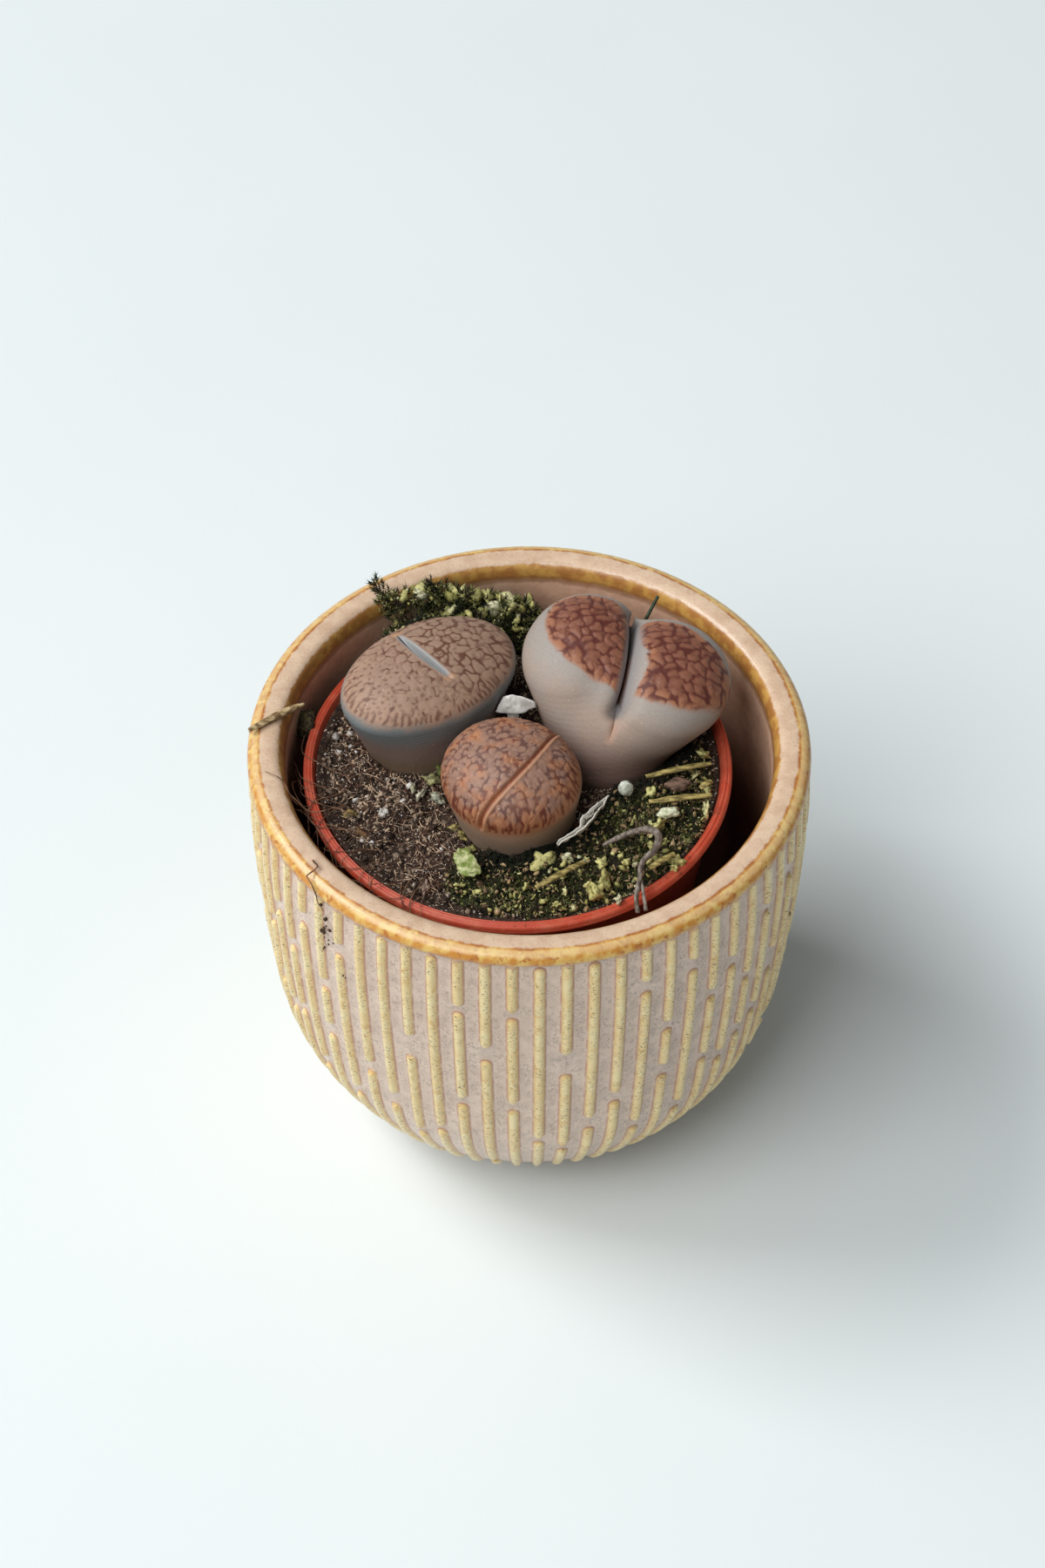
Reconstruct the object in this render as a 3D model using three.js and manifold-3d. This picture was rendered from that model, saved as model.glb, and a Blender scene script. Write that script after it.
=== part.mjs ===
// Potted lithops: three stone plants in a plastic nursery pot that stands in a glazed stoneware pot.
// Millimetres, +Z up. The origin is the middle of the stoneware pot's base, and the front is -Y.

import * as THREE from 'three';
import { mergeVertices } from 'three/addons/utils/BufferGeometryUtils.js';
import Module from 'manifold-3d';

const wasm = await Module();
wasm.setup();

// Driving dimensions
const GAP = 0.3;                 // clearance between pieces that touch
const POT_HEIGHT = 62.5;
const POT_FOOT_RADIUS = 19.0;
const RIM_TOP_OUTER = 34.4;      // flat top of the rim, outer and inner radius
const RIM_TOP_INNER = 32.3;
const POT_FLOOR = 6.5;           // height of the floor inside the stoneware pot
const RIB_COLUMNS = 66;
const RIB_HALF = 0.88;           // half width of a rib at its foot
const RIB_HEIGHT = 0.65;
const RIB_TURN = -3.4;           // degrees from the front to the column the count starts at
const MIRROR_COLUMN = -1;        // the rib pattern is the same on both sides of this column
const DASH_END = 57.0;           // depth below the rim where the last dashes end
const BAND_END = 1.9;            // depth below the rim where its raised band ends
const WALL_RINGS = [13, 25, 36, 43.5, 50.5];
const RING_APART = 4;            // a ring is left out this close to another point

// Nursery pot: its axis, the radii of its rim, shoulder and foot, its top and base height, its wall
const NURSERY = {
  x: -1.5, y: -0.4, rim: 27.7, rimInner: 26.1, shoulder: 26.2, foot: 19.4, top: 57.9, base: 6.8, wall: 0.9,
};
const SOIL_TOP = 56.5;
const SOIL_BOTTOM = NURSERY.base + NURSERY.wall + GAP;

// Radius over the rib crests at each height, from the foot to just under the rim
const POT_WALL = [
  [0, 19.0], [4.7, 24.9], [10.7, 29.7], [19.5, 33.7], [30.5, 35.3], [42.5, 36.1], [53.5, 36.4], [60.6, 36.1],
];
// Radius of the hollow at each height
const POT_HOLLOW = [
  [POT_FLOOR, 21.2], [8.6, 23.9], [13.5, 27.3], [22, 29.9], [35, 30.9], [52, 31.3], [60.6, 31.3],
  [61.6, 31.7], [POT_HEIGHT, RIM_TOP_INNER],
];

// Breaks in the columns of dashes as depths below the rim, outwards from the mirror column. A break that
// starts at 0 frees the first dash from the rim band.
const DASH_BREAKS = [
  [[18.8, 21.8], [49.0, 51.0]],
  [[11.0, 12.4], [31.1, 32.9]],
  [[0, 2.6], [39.6, 40.9]],
  [[20.1, 24.8], [42.3, 44.0]],
  [[0, 2.6], [35.6, 38.4]],
  [[30.8, 33.1]],
  [[8.5, 10.7], [39.5, 41.6]],
  [[18.6, 20.5], [28.2, 30.8]],
  [[8.3, 10.5], [39.3, 41.5]],
  [[16.9, 18.6], [30.9, 32.5]],
  [[13.0, 15.1], [33.4, 35.4]],
  [[19.5, 20.9], [30.8, 33.0]],
  [[9.1, 10.6], [29.5, 31.5]],
];

// A plant's centre is in the pot's axes. Its body is a chain of ellipsoids from dome to neck to foot, in axes
// along the fissure (u), across it (v) and up (w) from that centre. "core" lies inside the body, "slit" is
// the fissure, "faces" are the patterned ovals on top, "island" is the size of the raised islands on them,
// and "root" is the path of the taproot.
const PLANTS = {
  lithops_left: {
    centre: [-13.0, 8.9, 64.4], turn: -53.4, blend: 1.5, core: [0, -0.6, -2],
    lobes: [{ at: [0, 0, 0], radii: [8.8, 12.5, 4.6] }],
    neck: { at: [1.3, -1.5, -7.9], radii: [7.2, 8.4, 3.5] },
    foot: { at: [1.3, -1.5, -17.4], radii: [2.8, 2.8, 2.8] },
    slit: { offset: -0.6, lean: 0, floor: 2.9, width: 0.22, flare: 0.12, from: -6.2, to: 4.8 },
    faces: [{ u: 0, v: 0, ru: 8.5, rv: 12.3, turn: 0 }],
    root: [[0, 0, -15], [1.5, 1, -26], [0, 2, -40]],
    island: 3.8,
    colour: 0x8a7468,
  },
  lithops_right: {
    centre: [12.4, 9.0, 62.5], turn: 79.3, blend: 1.8, core: [-1.5, 0.6, -5.5],
    lobes: [
      { at: [2.95, 5.75, 1.8], radii: [9.75, 8.2, 6.0] },
      { at: [0.34, -4.5, 1.5], radii: [10.0, 9.2, 5.6] },
    ],
    neck: { at: [-5.3, 1.5, -6.0], radii: [6.4, 6.6, 3.5] },
    foot: { at: [-5.3, 1.5, -15.5], radii: [2.8, 2.8, 2.8] },
    slit: { offset: -0.35, lean: -0.2, floor: -0.3, width: 0.16, flare: 0.1, from: -30, to: 30 },
    faces: [
      { u: 2.6, v: 4.9, ru: 8.6, rv: 5.2, turn: 22 },
      { u: 0.0, v: -7.2, ru: 8.6, rv: 5.9, turn: -6 },
    ],
    root: [[-4, 1, -14], [-3, 0, -26], [-5, -1, -40]],
    island: 4.4,
    colour: 0x9a8074,
  },
  lithops_small: {
    centre: [-2.3, -6.8, 61.9], turn: 42.3, blend: 1.5, core: [0, -1.6, -2],
    lobes: [{ at: [0, 0, 0], radii: [8.6, 9.3, 4.8] }],
    neck: { at: [0.0, -0.9, -5.4], radii: [6.5, 6.5, 3.0] },
    foot: { at: [0.0, -0.9, -14.9], radii: [2.8, 2.8, 2.8] },
    slit: { offset: -1.6, lean: 0, floor: 4.0, width: 0.2, flare: 0.2, from: -30, to: 30 },
    faces: [{ u: -0.4, v: 0, ru: 8.3, rv: 9.0, turn: 0 }],
    root: [[0, 0, -13], [1, -1, -22], [0, -2, -34]],
    island: 3.2,
    colour: 0x9a6a4a,
  },
};
const FACE_EDGE = 1.3;           // a face ends this high above the dome's widest level
const FACE_RELIEF = 0.6;         // height of the raised islands on a face
const FACE_REACH = 80;           // most of a body's columns lie within this angle of the fissure
const ROOM = 1.0;                // the room cut for a plant is this much wider than the plant
const ROOT_THICK = 1.7;

const COLOURS = {
  outer_pot: 0xd6bf92,
  nursery_pot: 0xb05038,
  soil: 0x3a2a20,
  moss: 0x4c5a24,
  straw: 0xa08a50,
  husk: 0xe4e4e0,
  leaf: 0x9a8f74,
  stalk: 0x6f6550,
  stem: 0x2f4630,
  perlite: 0xc8cbc0,
  bark: 0x5b4438,
  flake: 0xb9c07a,
};

// Numbers

const radians = THREE.MathUtils.degToRad;
const clamp = THREE.MathUtils.clamp;

function ease(value, low, high) {
  const t = clamp((value - low) / (high - low), 0, 1);
  return t * t * (3 - 2 * t);
}

function seeded(seed) {
  let state = seed >>> 0;
  return () => {
    state = (state + 0x6d2b79f5) >>> 0;
    let t = state;
    t = Math.imul(t ^ (t >>> 15), t | 1);
    t ^= t + Math.imul(t ^ (t >>> 7), t | 61);
    return ((t ^ (t >>> 14)) >>> 0) / 4294967296;
  };
}

// Smooth curve through [height, radius] pairs
function radiusAt(curve, height) {
  const last = curve.length - 1;
  if (height <= curve[0][0]) return curve[0][1];
  if (height >= curve[last][0]) return curve[last][1];
  let i = 0;
  while (height > curve[i + 1][0]) i += 1;
  const slope = (k) => {
    const a = curve[Math.max(k - 1, 0)];
    const b = curve[Math.min(k + 1, last)];
    return (b[1] - a[1]) / (b[0] - a[0]);
  };
  const [h0, r0] = curve[i];
  const [h1, r1] = curve[i + 1];
  const span = h1 - h0;
  const t = (height - h0) / span;
  const t2 = t * t;
  const t3 = t2 * t;
  return r0 * (2 * t3 - 3 * t2 + 1) + slope(i) * span * (t3 - 2 * t2 + t)
    + r1 * (3 * t2 - 2 * t3) + slope(i + 1) * span * (t3 - t2);
}

// Repeatable number from 0 to 1 for a grid cell
function cellNumber(i, j, k) {
  const s = Math.sin(i * 127.1 + j * 311.7 + k * 74.7) * 43758.5453;
  return s - Math.floor(s);
}

// Distance to the nearest of a field of scattered spots, in units of the cell size
function fromSpot(x, y, size) {
  const gx = x / size;
  const gy = y / size;
  const ix = Math.floor(gx);
  const iy = Math.floor(gy);
  let nearest = 9;
  for (let a = -1; a <= 1; a += 1) {
    for (let b = -1; b <= 1; b += 1) {
      const px = ix + a + 0.15 + 0.7 * cellNumber(ix + a, iy + b, 1);
      const py = iy + b + 0.15 + 0.7 * cellNumber(ix + a, iy + b, 2);
      nearest = Math.min(nearest, Math.hypot(gx - px, gy - py));
    }
  }
  return nearest;
}

// Solids

function solidOf(geometry) {
  const bare = geometry.clone();
  bare.deleteAttribute('normal');
  bare.deleteAttribute('uv');
  const merged = mergeVertices(bare, 1e-4);
  const kept = [];
  const index = merged.index.array;
  for (let i = 0; i < index.length; i += 3) {
    const [a, b, c] = [index[i], index[i + 1], index[i + 2]];
    if (a !== b && b !== c && c !== a) kept.push(a, b, c);
  }
  return new wasm.Manifold(new wasm.Mesh({
    numProp: 3,
    vertProperties: new Float32Array(merged.attributes.position.array),
    triVerts: new Uint32Array(kept),
  }));
}

function geometryOf(solid) {
  const mesh = solid.getMesh();
  const geometry = new THREE.BufferGeometry();
  geometry.setAttribute('position', new THREE.BufferAttribute(new Float32Array(mesh.vertProperties), 3));
  geometry.setIndex(new THREE.BufferAttribute(new Uint32Array(mesh.triVerts), 1));
  geometry.computeVertexNormals();
  return geometry;
}

function join(solids) {
  return solids.reduce((whole, next) => whole.add(next));
}

// The largest of a solid's separate bodies, without the scraps that a cut leaves
function mainBody(solid) {
  return solid.decompose().reduce((best, next) => (next.volume() > best.volume() ? next : best));
}

// Turned solid about +Z from [radius, height] pairs, the axis at x, y
function turned(profile, segments, x = 0, y = 0) {
  const points = profile.map(([radius, height]) => new THREE.Vector2(radius, height));
  const geometry = new THREE.LatheGeometry(points, segments);
  geometry.rotateX(Math.PI / 2);
  geometry.translate(x, y, 0);
  return geometry;
}

// Tube along points, tapered from one radius to the other
function twig(points, thick, thin, sides = 5, steps = 3) {
  const curve = new THREE.CatmullRomCurve3(points.map((p) => new THREE.Vector3(...p)));
  const shape = new THREE.Shape();
  for (let i = 0; i < sides; i += 1) {
    const a = (i / sides) * 2 * Math.PI;
    if (i === 0) shape.moveTo(thick, 0);
    else shape.lineTo(thick * Math.cos(a), thick * Math.sin(a));
  }
  const rings = steps * (points.length - 1);
  const geometry = new THREE.ExtrudeGeometry(shape, { steps: rings, extrudePath: curve, curveSegments: 1 });
  const position = geometry.attributes.position;
  const centre = new THREE.Vector3();
  const here = new THREE.Vector3();
  const stations = Array.from({ length: rings + 1 }, (_, i) => curve.getPointAt(i / rings));
  for (let i = 0; i < position.count; i += 1) {
    here.fromBufferAttribute(position, i);
    let best = 0;
    stations.forEach((s, k) => {
      if (s.distanceToSquared(here) < stations[best].distanceToSquared(here)) best = k;
    });
    centre.copy(stations[best]);
    const scale = 1 + (thin / thick - 1) * (best / rings);
    here.sub(centre).multiplyScalar(scale).add(centre);
    position.setXYZ(i, here.x, here.y, here.z);
  }
  return geometry;
}

// Moves every point of a geometry by a function of its place
function reshape(geometry, move) {
  const position = geometry.attributes.position;
  const p = new THREE.Vector3();
  for (let i = 0; i < position.count; i += 1) {
    p.fromBufferAttribute(position, i);
    move(p);
    position.setXYZ(i, p.x, p.y, p.z);
  }
  return geometry;
}

// Stoneware pot

// The breaks of a column, counted outwards from the mirror column
function breaksOf(step) {
  if (step < DASH_BREAKS.length) return DASH_BREAKS[step];
  const shift = 3 * (cellNumber(step, 0, 5) - 0.5);
  const row = DASH_BREAKS[(step * 5 + 3) % DASH_BREAKS.length];
  return row.map(([from, to]) => (from === 0 ? [from, to] : [from + shift, to + shift]));
}

// Depths down the crest of a column and whether the rib stands proud there
function crestPoints(breaks) {
  const free = breaks[0][0] === 0;
  const points = [[1.2, true], [BAND_END, true]];
  if (free) points.push([BAND_END + 0.4, false], [BAND_END + 1.1, true]);
  breaks.filter(([from]) => from > 0).forEach(([from, to]) => {
    points.push([from, true], [from + 0.5, false], [to - 0.5, false], [to, true]);
  });
  WALL_RINGS.forEach((depth) => {
    if (points.every(([other]) => Math.abs(other - depth) > RING_APART)) points.push([depth, true]);
  });
  points.push([DASH_END, true]);
  return points.sort((a, b) => a[0] - b[0]);
}

// Depths down the foot of a rib: even rings, and the ends of each break
function footPoints(breaks) {
  const points = [[1.2, true], [BAND_END, true], [BAND_END + 0.5, false], [DASH_END, false]];
  breaks.filter(([from]) => from > 0).forEach(([from, to]) => points.push([from, false], [to, false]));
  WALL_RINGS.forEach((depth) => {
    if (points.every(([other]) => Math.abs(other - depth) > RING_APART)) points.push([depth, false]);
  });
  return points.sort((a, b) => a[0] - b[0]);
}

function outerPot() {
  const places = [];
  const index = [];
  const addPoint = (radius, angle, height) => {
    places.push(radius * Math.sin(angle), -radius * Math.cos(angle), height);
    return places.length / 3 - 1;
  };
  const pitch = (2 * Math.PI) / RIB_COLUMNS;
  const lines = [];
  for (let column = 0; column < RIB_COLUMNS; column += 1) {
    const away = Math.abs(((column - MIRROR_COLUMN + RIB_COLUMNS / 2) % RIB_COLUMNS) - RIB_COLUMNS / 2);
    const breaks = breaksOf(away);
    [-1, 0, 1].forEach((side) => {
      const angleAt = (radius) => radians(RIB_TURN) + column * pitch
        + side * Math.min(RIB_HALF / radius, 0.42 * pitch);
      const line = [addPoint(RIM_TOP_OUTER, angleAt(RIM_TOP_OUTER), POT_HEIGHT)];
      (side === 0 ? crestPoints(breaks) : footPoints(breaks)).forEach(([depth, proud]) => {
        const radius = radiusAt(POT_WALL, POT_HEIGHT - depth) - (proud ? 0 : RIB_HEIGHT);
        line.push(addPoint(radius, angleAt(radius), POT_HEIGHT - depth));
      });
      line.push(addPoint(POT_FOOT_RADIUS, angleAt(POT_FOOT_RADIUS), 0));
      lines.push(line);
    });
  }
  const height = (point) => places[3 * point + 2];
  const top = addPoint(0, 0, POT_HEIGHT);
  const bottom = addPoint(0, 0, 0);
  lines.forEach((left, n) => {
    const right = lines[(n + 1) % lines.length];
    index.push(top, left[0], right[0]);
    index.push(bottom, right[right.length - 1], left[left.length - 1]);
    let i = 0;
    let j = 0;
    while (i < left.length - 1 || j < right.length - 1) {
      const leftNext = i < left.length - 1 ? height(left[i + 1]) : -1;
      const rightNext = j < right.length - 1 ? height(right[j + 1]) : -1;
      const onLeft = leftNext > rightNext;
      index.push(left[i], onLeft ? left[i + 1] : right[j + 1], right[j]);
      if (onLeft) i += 1;
      else j += 1;
    }
  });
  const geometry = new THREE.BufferGeometry();
  geometry.setAttribute('position', new THREE.BufferAttribute(new Float32Array(places), 3));
  geometry.setIndex(index);
  const hollow = POT_HOLLOW.map(([level, radius]) => [radius, level]);
  const cutter = [[0, POT_FLOOR], ...hollow, [RIM_TOP_INNER + 0.8, POT_HEIGHT + 1], [0, POT_HEIGHT + 1]];
  return solidOf(geometry).subtract(solidOf(turned(cutter, 44)));
}

// Nursery pot: thin tapered wall, rolled rim, four drain holes in the floor

function nurseryPot() {
  const { x, y, rim, rimInner, shoulder, foot, top, base, wall } = NURSERY;
  const outline = [
    [0, base], [foot - 0.5, base], [foot, base + 0.6], [shoulder, top - 2.3], [rim - 0.2, top - 1.9],
    [rim, top - 1.3], [rim, top - 0.5], [rim - 0.45, top], [rimInner + 0.3, top], [rimInner, top - 0.4],
    [shoulder - wall, top - 2.4], [foot - wall, base + wall + 0.4], [foot - wall - 0.6, base + wall],
    [0, base + wall],
  ];
  const drains = [0, 1, 2, 3].map((i) => {
    const a = radians(45 + 90 * i);
    const hole = new THREE.CylinderGeometry(2.2, 2.2, 4, 8);
    hole.rotateX(Math.PI / 2);
    hole.translate(x + 11 * Math.cos(a), y + 11 * Math.sin(a), base);
    return solidOf(hole);
  });
  return solidOf(turned(outline, 30, x, y)).subtract(join(drains));
}

// Soil: a plug that follows the nursery pot's wall, uneven on top

function soilHeight(x, y) {
  const wave = 0.3 * Math.sin(x * 0.55 + 1) * Math.cos(y * 0.47) + 0.2 * Math.sin(x * 1.1 - y * 0.9);
  return SOIL_TOP + wave;
}

function soilPlug() {
  const { x, y, top, base, wall } = NURSERY;
  const foot = NURSERY.foot - wall - GAP;
  const edge = NURSERY.shoulder - wall - GAP;
  const slope = (edge - foot) / (top - 2.4 - base - wall);
  const brim = foot + slope * (SOIL_TOP - SOIL_BOTTOM) - 0.15;
  const profile = [[0, SOIL_BOTTOM], [foot - 0.7, SOIL_BOTTOM], [foot, SOIL_BOTTOM + 0.8]];
  profile.push([brim, SOIL_TOP - 0.7]);
  [0.985, 0.8, 0.6, 0.4, 0.2, 0].forEach((share) => profile.push([brim * share, SOIL_TOP]));
  const geometry = turned(profile, 30, x, y);
  reshape(geometry, (p) => {
    if (p.z > SOIL_TOP - 0.1) p.z = soilHeight(p.x, p.y);
  });
  return solidOf(geometry);
}

// Stone plants

// Below 0 inside an ellipsoid, in millimetres near its surface
function ellipsoidGap(p, at, radii) {
  const u = (p[0] - at[0]) / radii[0];
  const v = (p[1] - at[1]) / radii[1];
  const w = (p[2] - at[2]) / radii[2];
  return (Math.sqrt(u * u + v * v + w * w) - 1) * Math.min(...radii);
}

function chainGap(p, chain, steps = 7) {
  let gap = 99;
  for (let k = 0; k + 1 < chain.length; k += 1) {
    for (let i = 0; i <= steps; i += 1) {
      const t = i / steps;
      const mix = (a, b) => a.map((n, m) => n * (1 - t) + b[m] * t);
      const at = mix(chain[k].at, chain[k + 1].at);
      const radii = mix(chain[k].radii, chain[k + 1].radii);
      gap = Math.min(gap, ellipsoidGap(p, at, radii));
    }
  }
  return gap;
}

// Smooth least of two gaps, rounded over the given width
function blendLeast(a, b, width) {
  const h = clamp(0.5 + (0.5 * (b - a)) / width, 0, 1);
  return b * (1 - h) + a * h - width * h * (1 - h);
}

// Below 0 inside the fissure: a thin upright blade with a rounded floor that widens upwards
function slitGap(p, slit) {
  const side = p[1] - slit.offset - slit.lean * (p[2] - 5) * 0.5;
  const above = p[2] - slit.floor;
  const beyond = Math.max(slit.from - p[0], p[0] - slit.to, 0);
  const width = slit.width + slit.flare * Math.max(above, 0);
  return Math.hypot(side, Math.min(above, 0), beyond) - width;
}

function plantGap(p, plant) {
  const lobes = plant.lobes.map((lobe) => chainGap(p, [lobe, plant.neck, plant.foot]));
  const body = lobes.length > 1 ? blendLeast(lobes[0], lobes[1], plant.blend) : lobes[0];
  return -blendLeast(-body, slitGap(p, plant.slit), 0.7);
}

// 1 on the patterned face of a plant and 0 on its smooth sides
function onFace(p, plant) {
  let share = 0;
  plant.faces.forEach((face) => {
    const a = radians(face.turn);
    const du = p[0] - face.u;
    const dv = p[1] - face.v;
    const u = (du * Math.cos(a) + dv * Math.sin(a)) / face.ru;
    const v = (-du * Math.sin(a) + dv * Math.cos(a)) / face.rv;
    share = Math.max(share, 1 - ease(Math.hypot(u, v), 0.9, 1.0));
  });
  const low = Math.min(...plant.lobes.map((lobe) => lobe.at[2]));
  return share * ease(p[2] - low, FACE_EDGE - 0.4, FACE_EDGE);
}

// Angles round the fissure's axis: a share of them over the face, the rest wider apart under the body
function aroundFissure(count, share) {
  const half = count / 2;
  const reach = radians(FACE_REACH);
  const angles = [];
  for (let i = -half + 1; i <= half; i += 1) {
    const t = Math.abs(i) / half;
    const angle = t < share ? (reach * t) / share : reach + ((Math.PI - reach) * (t - share)) / (1 - share);
    angles.push(Math.sign(i) * angle);
  }
  return angles;
}

function plantBody(plant, rows, columns, share, grow = 0, relief = true) {
  const geometry = new THREE.SphereGeometry(1, columns, rows);
  const position = geometry.attributes.position;
  const around = aroundFissure(columns, share);
  const turn = radians(plant.turn);
  for (let i = 0; i <= rows; i += 1) {
    const along = (i / rows) * Math.PI;
    for (let j = 0; j <= columns; j += 1) {
      const angle = around[j % columns];
      const d = [Math.cos(along), -Math.sin(along) * Math.sin(angle), Math.sin(along) * Math.cos(angle)];
      let near = 0;
      let far = 30;
      for (let k = 0; k < 24; k += 1) {
        const middle = (near + far) / 2;
        const p = plant.core.map((c, m) => c + d[m] * middle);
        if (plantGap(p, plant) < grow) near = middle;
        else far = middle;
      }
      let reach = near;
      const p = plant.core.map((c, m) => c + d[m] * reach);
      if (relief) {
        reach -= FACE_RELIEF * onFace(p, plant) * ease(fromSpot(p[0], p[1], plant.island), 0.2, 0.65);
      }
      const q = plant.core.map((c, m) => c + d[m] * reach);
      const x = plant.centre[0] + q[0] * Math.cos(turn) - q[1] * Math.sin(turn);
      const y = plant.centre[1] + q[0] * Math.sin(turn) + q[1] * Math.cos(turn);
      position.setXYZ(i * (columns + 1) + j, x, y, plant.centre[2] + q[2]);
    }
  }
  return solidOf(geometry);
}

function plantRoot(plant, grow = 0) {
  const turn = radians(plant.turn);
  const points = plant.root.map(([u, v, w], i) => [
    plant.centre[0] + u * Math.cos(turn) - v * Math.sin(turn),
    plant.centre[1] + u * Math.sin(turn) + v * Math.cos(turn),
    plant.centre[2] + w - (i === plant.root.length - 1 ? grow : 0),
  ]);
  return solidOf(twig(points, ROOT_THICK + grow, ROOT_THICK + grow - 1.3, 6, 2));
}

function wholePlant(plant) {
  return plantBody(plant, 26, 38, 0.75).add(plantRoot(plant));
}

// The room a plant needs in the soil and the moss
function plantRoom(plant) {
  return plantBody(plant, 14, 18, 0.45, ROOM, false).add(plantRoot(plant, ROOM));
}

// Moss

// A strip of moss bent round an axis: its ends at two angles, its middle radius, half width and height
function mossStrip(strip, along, around) {
  const geometry = new THREE.SphereGeometry(1, around, along);
  reshape(geometry, (p) => {
    const share = p.y;
    const girth = Math.sqrt(Math.max(1 - share * share, 0));
    const across = girth > 0 ? p.x / girth : 0;
    const up = girth > 0 ? p.z / girth : 0;
    const fill = girth ** 0.6;
    const angle = radians(strip.middle + strip.spread * share);
    const radius = strip.radius + strip.half * fill * across;
    const x = strip.x + radius * Math.cos(angle);
    const y = strip.y + radius * Math.sin(angle);
    const ground = soilHeight(x, y) + 0.55;
    const lump = 1 - Math.min(fromSpot(x, y, strip.lump), 1) ** 2;
    const rise = Math.max(up, 0) * fill * (strip.height(share) + strip.rough * (lump - 0.4));
    p.set(x, y, ground + Math.max(rise, 0) + 0.25 * Math.min(up, 0) + 0.5);
  });
  return solidOf(geometry);
}

function granule(x, y, z, size) {
  const geometry = new THREE.IcosahedronGeometry(size, 0);
  geometry.scale(1, 1, 0.8);
  geometry.rotateZ(x * 3 + y);
  geometry.translate(x, y, z);
  return solidOf(geometry);
}

const MOSS_FRONT = {
  x: NURSERY.x, y: NURSERY.y, middle: -49, spread: 67, radius: 18.2, half: 6.6, lump: 2.4, rough: 0.8,
  height: () => 0.9,
};
const MOSS_BACK = {
  x: 0, y: 0, middle: 116, spread: 25, radius: 24.6, half: 4.4, lump: 3.0, rough: 1.6,
  height: (share) => 6.2 + 1.4 * share,
};

// Rings that keep the moss clear of both pots
function potRooms() {
  const { x, y, rim, rimInner, top } = NURSERY;
  const low = SOIL_TOP - 6;
  const plasticTop = top + 0.35;
  const plastic = [
    [rimInner - 1.2, low], [rim + 0.4, low], [rim + 0.4, plasticTop], [rimInner - 0.5, plasticTop],
    [rimInner - 1.2, top - 2], [rimInner - 1.2, low],
  ];
  const stoneTop = POT_HEIGHT + 0.35;
  const stone = [
    [30.8, low], [45, low], [45, stoneTop], [31.9, stoneTop], [30.8, POT_HEIGHT - 1.6], [30.8, low],
  ];
  return solidOf(turned(plastic, 36, x, y)).add(solidOf(turned(stone, 48)));
}

function mossFront(rooms) {
  const pieces = [mossStrip(MOSS_FRONT, 36, 10)];
  const random = seeded(7);
  const spots = [[1.6, -18.6], [8.2, -22.3], [9.3, -21.6], [12.0, -17.4], [9.6, -18.2]];
  for (let i = 0; i < 6; i += 1) {
    const a = radians(MOSS_FRONT.middle + MOSS_FRONT.spread * 0.85 * (2 * random() - 1));
    const r = MOSS_FRONT.radius + 4.5 * (2 * random() - 1);
    spots.push([NURSERY.x + r * Math.cos(a), NURSERY.y + r * Math.sin(a)]);
  }
  spots.forEach(([x, y]) => pieces.push(granule(x, y, soilHeight(x, y) + 1.5, 0.6 + 0.4 * random())));
  return mainBody(join(pieces).subtract(rooms));
}

function mossBack(rooms) {
  const pieces = [mossStrip(MOSS_BACK, 22, 10)];
  const tips = [
    { path: [[-17.2, 22.4, 60.5], [-20.6, 25.0, 65.6]], size: 2.2 },
    { path: [[-12.6, 23.4, 61.0], [-12.8, 25.0, 66.4]], size: 2.0 },
    { path: [[-8.4, 24.0, 60.5], [-7.6, 25.4, 64.4]], size: 1.8 },
  ];
  tips.forEach(({ path, size }) => pieces.push(solidOf(twig(path, size, 0.5, 5, 2))));
  const random = seeded(11);
  for (let i = 0; i < 8; i += 1) {
    const a = radians(96 + 40 * (i + random()) / 8);
    const r = 23.5 + 2.5 * random();
    pieces.push(granule(r * Math.cos(a), r * Math.sin(a), 62.4 + 1.2 * random(), 1.0 + 0.4 * random()));
  }
  return mainBody(join(pieces).subtract(rooms));
}

// Dry husk: a small curved shell that stands between the plants
function husk() {
  const outer = new THREE.SphereGeometry(1, 12, 8);
  outer.scale(2.3, 1.5, 4.6);
  const inner = new THREE.SphereGeometry(1, 12, 8);
  inner.scale(1.9, 1.1, 4.2);
  const below = new THREE.BoxGeometry(8, 8, 4);
  below.translate(0, 0, -4.8);
  const front = new THREE.BoxGeometry(8, 4, 12);
  front.translate(0, 1.9, -1);
  const shell = solidOf(outer).subtract(solidOf(inner)).subtract(solidOf(below)).subtract(solidOf(front));
  return shell.rotate([-14, 0, 12]).translate([-1.6, 6.2, 60.2]);
}

// Dry leaf: a thin blade, wide in the middle, curled along its length
function dryLeaf() {
  const geometry = new THREE.BoxGeometry(1, 1, 1, 10, 2, 1);
  reshape(geometry, (p) => {
    const t = p.x + 0.5;
    const width = 0.35 + 2.1 * Math.sin(Math.PI * t) ** 1.5;
    const x = 4.9 + 6.0 * t;
    const y = -14.2 + 7.0 * t;
    const curl = 0.9 * (p.y * 2) ** 2;
    const z = 59.2 + 1.1 * Math.sin(Math.PI * t * 0.9) + curl + 0.5 * p.z;
    p.set(x - 0.7 * width * p.y, y + 0.7 * width * p.y, z);
  });
  return solidOf(geometry);
}

function lumpOf(x, y, z, sizes, turn) {
  const geometry = new THREE.IcosahedronGeometry(1, 1);
  const random = seeded(Math.round(100 * (x + y + z)));
  const seen = new Map();
  reshape(geometry, (p) => {
    const key = [p.x, p.y, p.z].map((n) => n.toFixed(3)).join();
    if (!seen.has(key)) seen.set(key, 0.86 + 0.28 * random());
    p.multiplyScalar(seen.get(key));
  });
  geometry.scale(...sizes);
  geometry.rotateZ(radians(turn));
  geometry.translate(x, y, z);
  return solidOf(geometry);
}

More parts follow.
